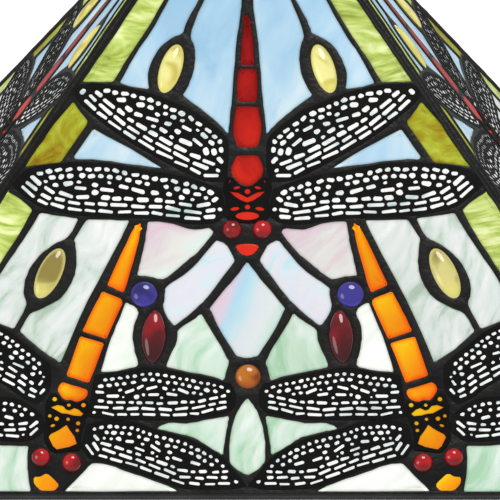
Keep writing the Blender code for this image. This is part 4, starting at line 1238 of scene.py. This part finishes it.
# Cast jewels: centre, half length, half width, lean, height of the dome, how much their ends taper
jewels = {
    "yellowJewel": [((-39.7, 232.3), 14.3, 5.8, 16, 3.0, 0.0)],
    "oliveJewel": [((-101, 118.5), 14.8, 6.2, 22.7, 3.0, 0.0)],
    "blueJewel": [((-52.7, 107), 7.0, 6.9, 0, 3.4, 0.0)],
    "wineJewel": [((-47.7, 84), 14.8, 6.6, 3, 3.8, 0.16)],
    "amberJewel": [((0.3, 62.3), 6.7, 6.6, 0, 3.2, 0.0)],
    "rubyJewel": [(bodies["red"]["eyes"][0][0], 5.2, 5.2, 0, 4.0, 0.0),
                  (bodies["orange"]["eyes"][0][0], 5.0, 5.0, 0, 3.8, 0.0),
                  (bodies["orange"]["eyes"][1][0], 5.2, 5.2, 0, 3.8, 0.0)],
}


casting = {"segments": 32, "rings": 16, "underside": 0.45, "lift": 0.1, "bedding": -0.4}


def castJewel(centre, long, short, lean, height, taper):
    deselectAll()
    bpy.ops.mesh.primitive_uv_sphere_add(segments=casting["segments"], ring_count=casting["rings"], radius=1)
    obj = bpy.context.object
    for title in ("rim", "rise"):
        obj.data.attributes.new(title, "FLOAT", "POINT")
    rim, rise = obj.data.attributes["rim"], obj.data.attributes["rise"]
    turn = math.radians(lean)
    (x, y), = onPanel([centre])
    for i, vertex in enumerate(obj.data.vertices):
        across, along, up = vertex.co
        rim.data[i].value = math.hypot(across, along)
        rise.data[i].value = along / 2 + 0.5
        across *= 1 - taper * abs(along) ** outlines["jewelTaper"]
        up *= height if up > 0 else height * casting["underside"]
        spot = (across * short * math.cos(turn) + along * long * math.sin(turn),
                along * long * math.cos(turn) - across * short * math.sin(turn))
        vertex.co = (x + spot[0] * mm, y + spot[1] * mm, (up + casting["lift"]) * mm)
    return obj


for name, rows in jewels.items():
    made = []
    for centre, long, short, lean, height, taper in rows:
        for side in ((1,) if name == "amberJewel" else (1, -1)):
            placed = (centre[0] * side, centre[1])
            made.append(castJewel(placed, long, short, lean * side, height, taper))
            if name != "rubyJewel":
                bed = oval(placed, long, short, lean * side, grow=casting["bedding"], taper=taper)
                leadOpenings.append(onPanel(bed))
    templates[name] = joined(name, made)
print("jewels cast")

leadCorners = [(drawnHalf(v), v) for v in (layers["leadFoot"], layers["leadHead"])]
leadOutline = onPanel([(-leadCorners[0][0], leadCorners[0][1]), *leadCorners,
                       (-leadCorners[1][0], leadCorners[1][1])], panel["leadInset"])
templates["leadNetwork"] = flatPiece([leadOutline] + leadOpenings, *layers["lead"], steps=2)
print("lead network made:", len(templates["leadNetwork"].data.polygons), "faces")

# What each laid piece is called on a side, its material and slot, and the nodes of that side it stands for
sidePieces = {
    "leadNetwork": ("lead_network", "leading", "lead", ["leading"]),
    "border": ("border_glasswork", "borderGlass", "green_glass", ["left_border_glass", "right_border_glass"]),
    "olive": ("olive_glasswork", "oliveGlass", "green_glass", []),
    "sky": ("sky_glasswork", "skyGlass", "sky_glass", ["sky_glass"]),
    "opal": ("opal_glasswork", "opalGlass", "opal_glass", ["field_glass"]),
    "milk": ("milk_glasswork", "milkGlass", "opal_glass", []),
    "pink": ("pink_glasswork", "pinkGlass", "opal_glass", []),
    "pearl": ("pearl_glasswork", "pearlGlass", "opal_glass", []),
    "green": ("green_glasswork", "greenGlass", "green_glass", []),
    "kite": ("kite_glass", "kiteGlass", "opal_glass", []),
    "wingGlass": ("wing_glasswork", "wingGlass", "opal_glass", []),
    "redWings": ("red_dragonfly_filigree", "wingPlate", "red_wing", ["red_dragonfly"]),
    "redTail": ("red_dragonfly_glass", "redGlass", "red_wing", []),
    "orangeWings": ("orange_dragonfly_filigree", "wingPlate", "orange_wing",
                    ["left_orange_dragonfly", "right_orange_dragonfly"]),
    "orangeTail": ("orange_dragonfly_glass", "orangeGlass", "orange_wing", []),
    "yellowJewel": ("yellow_jewels", "yellowJewel", "sky_glass", []),
    "oliveJewel": ("olive_jewels", "oliveJewel", "green_glass", []),
    "blueJewel": ("blue_jewels", "blueJewel", "sky_glass", []),
    "wineJewel": ("wine_jewels", "wineJewel", "red_wing", []),
    "amberJewel": ("amber_jewel", "amberJewel", "orange_wing", []),
    "rubyJewel": ("dragonfly_eyes", "rubyJewel", "red_wing", []),
}
for key, (title, material, slot, nodes) in sidePieces.items():
    template = smoothed(templates[key], layers["creases"]["jewel" if key.endswith("Jewel") else "plate"])
    flat = numpy.zeros(len(template.data.vertices) * 3)
    template.data.vertices.foreach_get("co", flat)
    corners = numpy.zeros(len(template.data.loops), int)
    template.data.loops.foreach_get("vertex_index", corners)
    uv = flat.reshape(-1, 3)[corners][:, :2]
    for layer in list(template.data.uv_layers):
        template.data.uv_layers.remove(layer)
    for side, sideName in enumerate(sideNames):
        mesh = template.data.copy()
        shifted = uv + side * numpy.array(layers["sideShift"])
        mesh.uv_layers.new(name="panel").data.foreach_set("uv", shifted.ravel())
        mesh.transform(sideMatrix(side))
        obj = bpy.data.objects.new(f"{sideName}_{title}", mesh)
        bpy.context.scene.collection.objects.link(obj)
        given(obj, "shade", slot, material, *[f"{sideName}_{node}" for node in nodes])
    bpy.data.objects.remove(template)
print("panels placed on four sides")


# Shapes grown from a flat ring of points: square where it has four corners, round where it has many
def nodeRings(node, profile, setback=False):
    # a profile goes up by shares of the node's height, in shares of its half width or in mm back from it
    low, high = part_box(node)
    return [(low.z + (high.z - low.z) * z, high.x - part * mm if setback else high.x * part)
            for z, part in profile]


def stacked(name, corners, rings, bevel=0.0):
    # rings are (height, half width or radius) from the bottom face to the last one
    deselectAll()
    across, turn = (math.sqrt(2), math.pi / 4) if corners == 4 else (1, 0)
    height, reach = rings[0]
    bpy.ops.mesh.primitive_circle_add(vertices=corners, radius=reach * across, fill_type="NGON",
                                      location=(0, 0, height), rotation=(0, 0, turn))
    obj = bpy.context.object
    bpy.ops.object.transform_apply(location=True, rotation=True, scale=True)
    bpy.ops.object.mode_set(mode="EDIT")
    bpy.ops.mesh.select_mode(type="FACE")
    bpy.ops.mesh.select_all(action="SELECT")
    for (before, wide), (after, wider) in zip(rings, rings[1:]):
        bpy.ops.mesh.extrude_region_move(TRANSFORM_OT_translate={"value": (0, 0, after - before)})
        bpy.ops.transform.resize(value=(wider / wide, wider / wide, 1), center_override=(0, 0, after))
    bpy.ops.object.mode_set(mode="OBJECT")
    cleaned(obj)
    obj.name = obj.data.name = name
    return rounded(obj, bevel) if bevel else smoothed(obj)


# Hips: a rounded bead of lead from the rim to the cap over each corner
hips = {"lumps": 0.11, "stations": 60, "seed": 5, "start": 0.008, "run": 0.988, "crease": 50,
        "profile": [(-1.2, -4.3), (-3.0, -2.3), (-3.05, -1.3), (-2.5, -0.2), (-1.5, 0.75), (0, 1.2),
                    (1.5, 0.75), (2.5, -0.2), (3.05, -1.3), (3.0, -2.3), (1.2, -4.3)]}


def hipBead(name, corner):
    # a flat ring of the profile, drawn up along the hip a short step at a time
    turn = Matrix.Rotation(corner * math.pi / 2, 3, "Z")
    foot = Vector((panel["rimHalf"], -panel["rimHalf"], panel["rimZ"]))
    head = Vector((panel["topHalf"], -panel["topHalf"], panel["topZ"]))
    along = (head - foot).normalized()
    outward = Vector((1, -1, 0)).normalized()
    outward = (outward - along * outward.dot(along)).normalized()
    across = along.cross(outward)
    mesh = bmesh.new()
    shake = random.Random(hips["seed"] + corner)
    rows = []
    for step in range(hips["stations"] + 1):
        share = step / hips["stations"]
        centre = foot.lerp(head, share * hips["run"] + hips["start"])
        fat = 1 + shake.uniform(-hips["lumps"], hips["lumps"])
        rows.append([mesh.verts.new(turn @ (centre + across * (x * fat * mm) + outward * (y * fat * mm)))
                     for x, y in hips["profile"]])
    for below, above in zip(rows, rows[1:]):
        for i in range(len(below)):
            j = (i + 1) % len(below)
            mesh.faces.new((below[i], below[j], above[j], above[i]))
    mesh.faces.new(rows[0])
    mesh.faces.new(rows[-1][::-1])
    bmesh.ops.recalc_face_normals(mesh, faces=mesh.faces)
    data = bpy.data.meshes.new(name)
    mesh.to_mesh(data)
    obj = bpy.data.objects.new(name, data)
    bpy.context.scene.collection.objects.link(obj)
    return smoothed(obj, hips["crease"])


for corner, pair in enumerate(("front_right", "right_back", "back_left", "left_front")):
    given(hipBead(pair + "_hip_bead", corner), "shade", "lead", "leading", pair + "_hip_came")
print("hips beaded")

# Rim: a black solder band over a plain grey strip, both square rings
rim = {"stripHeight": 1.5, "stripInner": 5.2, "stripBevel": 0.4,
       "bandLift": 0.9, "bandOuter": 0.9, "bandInner": 5.8, "bandBevel": 0.9, "tuck": 0.35}


def squareRing(name, outer, inner, low, high, bevel):
    # up the outside, in across the top and down the inside
    rings = [(low, outer), (high, outer), (high, inner), (low, inner)]
    obj = stacked(name, 4, rings)
    pick(obj)
    bpy.ops.object.mode_set(mode="EDIT")
    bpy.ops.mesh.select_mode(type="FACE")
    bpy.ops.mesh.select_all(action="DESELECT")
    bpy.ops.object.mode_set(mode="OBJECT")
    for face in obj.data.polygons:
        face.select = face.normal.z < -0.5 or (face.normal.z > 0.5 and face.center.z < low + 1e-5)
    bpy.ops.object.mode_set(mode="EDIT")
    bpy.ops.mesh.delete(type="FACE")
    bpy.ops.mesh.select_mode(type="EDGE")
    bpy.ops.mesh.select_all(action="DESELECT")
    bpy.ops.mesh.select_non_manifold()
    bpy.ops.mesh.bridge_edge_loops()
    bpy.ops.object.mode_set(mode="OBJECT")
    return rounded(cleaned(obj), bevel, segments=3, angle=40)


strip = squareRing("rim_strip", rimHigh.x, rimHigh.x - rim["stripInner"] * mm, rimLow.z,
                   rimLow.z + rim["stripHeight"] * mm, rim["stripBevel"] * mm)
given(strip, "shade", "lead", "rimMetal", "rim_channel")
band = squareRing("rim_band", rimHigh.x - rim["bandOuter"] * mm, rimHigh.x - rim["bandInner"] * mm,
                  rimLow.z + (rim["stripHeight"] - rim["tuck"]) * mm, rimHigh.z + rim["bandLift"] * mm,
                  rim["bandBevel"] * mm)
given(band, "shade", "lead", "rimBand")
print("rim made")

# Cap: a raised bronze cover with a rolled edge, ribbed up to the finial
cap = {
    "bevel": 0.0012,
    "profile": [(0, 0.93), (0.04, 1), (0.24, 1), (0.30, 0.955), (0.36, 0.90), (0.52, 0.78), (0.60, 0.76),
                (0.66, 0.62), (0.80, 0.44), (0.86, 0.42), (0.92, 0.30), (1, 0.24)],
}
cover = stacked("cap", 4, nodeRings("vase_cap", cap["profile"]), cap["bevel"])
given(cover, "shade", "bronze", "bronze", "vase_cap")

# Finial: a turned knob with a collar, a waist and a ball drawn to a point
finial = {
    "corners": 40,
    "profile": [(0, 0.72), (0.04, 0.84), (0.10, 0.84), (0.14, 0.60), (0.18, 0.44), (0.24, 0.38), (0.30, 0.46),
                (0.33, 0.56), (0.36, 0.50), (0.40, 0.62), (0.46, 0.82), (0.53, 0.96), (0.60, 1.0),
                (0.67, 0.94), (0.74, 0.78), (0.80, 0.56), (0.85, 0.36), (0.89, 0.24), (0.92, 0.26),
                (0.955, 0.22),
                (0.985, 0.12), (1.0, 0.02)],
}
knob = stacked("finial_knob", finial["corners"], nodeRings("finial", finial["profile"]))
given(knob, "finial", "bronze", "bronze", "finial")
print("cap and finial made")

# Foot, step, column and capital: square sections with mouldings between them
foot = {
    "bevel": 0.0006,
    "plate": [(0, 1.5), (0.06, 0), (0.30, 0), (0.34, 1.6), (0.42, 2.4), (0.50, 3.0), (0.58, 6.5),
              (0.70, 10.5), (0.82, 13.0), (0.86, 13.0), (0.90, 15.0), (0.97, 16.2), (1, 17.5)],
    "step": [(0, 0), (0.22, 0), (0.28, 2.0), (0.40, 4.6), (0.58, 9.6), (0.74, 14.0), (0.86, 16.5),
             (0.90, 20), (1, 21)],
    "capital": [(0, 6), (0.12, 6), (0.20, 3.4), (0.34, 1.2), (0.46, 0.4), (0.56, 0), (0.80, 0), (0.86, 1.8),
                (0.94, 5.5), (1, 9)],
}
for node, part in (("foot_plate", "plate"), ("foot_step", "step"), ("column_capital", "capital")):
    piece = stacked(node + "_moulded", 4, nodeRings(node, foot[part], setback=True), foot["bevel"])
    given(piece, "stand", "bronze", "bronze", node)

# Column: a tapered shaft with a sunk panel on each side, between a base and a neck moulding
column = {
    "base": [(0, 0), (0.030, 0), (0.040, 0.6), (0.052, 2.6), (0.064, 4.4), (0.072, 4.4)],
    "shaft": [(0.082, 0.83), (0.925, 0.545), (0.932, 0.58), (0.945, 0.60), (0.958, 0.58), (0.966, 0.545),
              (1, 0.53)],
    "panelInset": 0.0065, "panelStep": 0.0012, "panelDepth": -0.0016, "bevel": 0.0007, "bevelAngle": 24,
}
low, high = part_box("column")
rings = nodeRings("column", column["base"], setback=True) + nodeRings("column", column["shaft"])
shaft = stacked("column_panelled", 4, rings)
pick(shaft)
for face in shaft.data.polygons:
    face.select = abs(face.normal.z) < 0.2 and face.area > (high.z - low.z) * high.x * 0.5
bpy.ops.object.mode_set(mode="EDIT")
bpy.ops.mesh.select_mode(type="FACE")
bpy.ops.mesh.inset(thickness=column["panelInset"], use_individual=True)
bpy.ops.mesh.inset(thickness=column["panelStep"], depth=column["panelDepth"], use_individual=True)
bpy.ops.object.mode_set(mode="OBJECT")
rounded(shaft, column["bevel"], angle=column["bevelAngle"])
given(shaft, "stand", "bronze", "bronze", "column")
print("foot and column made")

# Metalwork and fittings whose shape is the frame's own
fittings = {
    "felt": ["base_pad"],
    "bronze": ["neck_tube", "cluster_body"],
    "brass": ["rod_nut", "lock_nut", "seat_ring", "left_socket_shell", "right_socket_shell", "left_bulb_base",
              "right_bulb_base"],
    "steel": ["centre_rod", "riser"],
    "plastic": ["cord_bushing", "left_socket_key", "right_socket_key"],
    "bulb": ["left_bulb_glass", "right_bulb_glass"],
}
for material, nodes in fittings.items():
    for node in nodes:
        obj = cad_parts[node]
        obj.data.materials.clear()
        obj.data.materials.append(materials[material])
        smoothed(obj, angle=35)
print("fittings finished")


# Stage

stageLooks = {
    "floorSize": 16,
    "floorTone": (0.86, 0.86, 0.86, 1),
    "floorRoughness": 0.9,
    "worldStrength": 0.24,
    "floorGlow": 0.78,
    "glowInGloss": 0.0,  # the share of that glow in reflections
    # place, size and power of each light
    "key": ((0.3, -0.35, 3.0), 1.1, 16),
    "fill": ((-2.2, -1.8, 1.8), 1.6, 10),
    "back": ((0.6, 2.6, 2.4), 1.4, 12),
    "aim": (0, 0, 0.42),
    "cameraPlace": (0, -2.964, 1.2624),
    "cameraPitch": 16.487,
    "lens": 413.05,
    "sensor": 36,
    "farClip": 60,
    "shift": 0.0054,
}


def stageSet():
    deselectAll()
    bpy.ops.mesh.primitive_plane_add(size=stageLooks["floorSize"], location=(0, 0, 0))
    floor = bpy.context.object
    floor.name = "floor"
    found, tree, shader = newMaterial("paleFloor")
    shader.inputs["Base Color"].default_value = stageLooks["floorTone"]
    shader.inputs["Roughness"].default_value = stageLooks["floorRoughness"]
    shader.inputs["Emission Color"].default_value = (1, 1, 1, 1)
    rays = addNode(tree, "ShaderNodeLightPath")
    dimmed = calc(tree, "MULTIPLY_ADD", rays.outputs["Is Glossy Ray"], stageLooks["glowInGloss"] - 1, 1)
    glow = calc(tree, "MULTIPLY", dimmed, stageLooks["floorGlow"])
    tree.links.new(glow, shader.inputs["Emission Strength"])
    floor.data.materials.append(found)


def areaLight(name, place, size, energy):
    light = bpy.data.lights.new(name, "AREA")
    light.shape = "DISK"
    light.size = size
    light.energy = energy
    obj = bpy.data.objects.new(name, light)
    obj.location = place
    aim = Vector(stageLooks["aim"]) - Vector(place)
    obj.rotation_euler = aim.to_track_quat("-Z", "Y").to_euler()
    bpy.context.scene.collection.objects.link(obj)


stageSet()
for name in ("key", "fill", "back"):
    areaLight(name + "Light", *stageLooks[name])
world = bpy.data.worlds.new("softRoom")
bpy.context.scene.world = world
world.use_nodes = True
background = world.node_tree.nodes["Background"]
background.inputs["Color"].default_value = (1, 1, 1, 1)
background.inputs["Strength"].default_value = stageLooks["worldStrength"]
bpy.context.scene.view_settings.view_transform = "Standard"

camera = bpy.data.objects.new("camera", bpy.data.cameras.new("camera"))
camera.location = stageLooks["cameraPlace"]
camera.rotation_euler = (math.radians(90 - stageLooks["cameraPitch"]), 0, 0)
camera.data.sensor_width = stageLooks["sensor"]
camera.data.lens = stageLooks["lens"]
camera.data.shift_x = stageLooks["shift"]
camera.data.clip_end = stageLooks["farClip"]
bpy.context.scene.collection.objects.link(camera)
bpy.context.scene.camera = camera
print("stage, lights and camera ready")
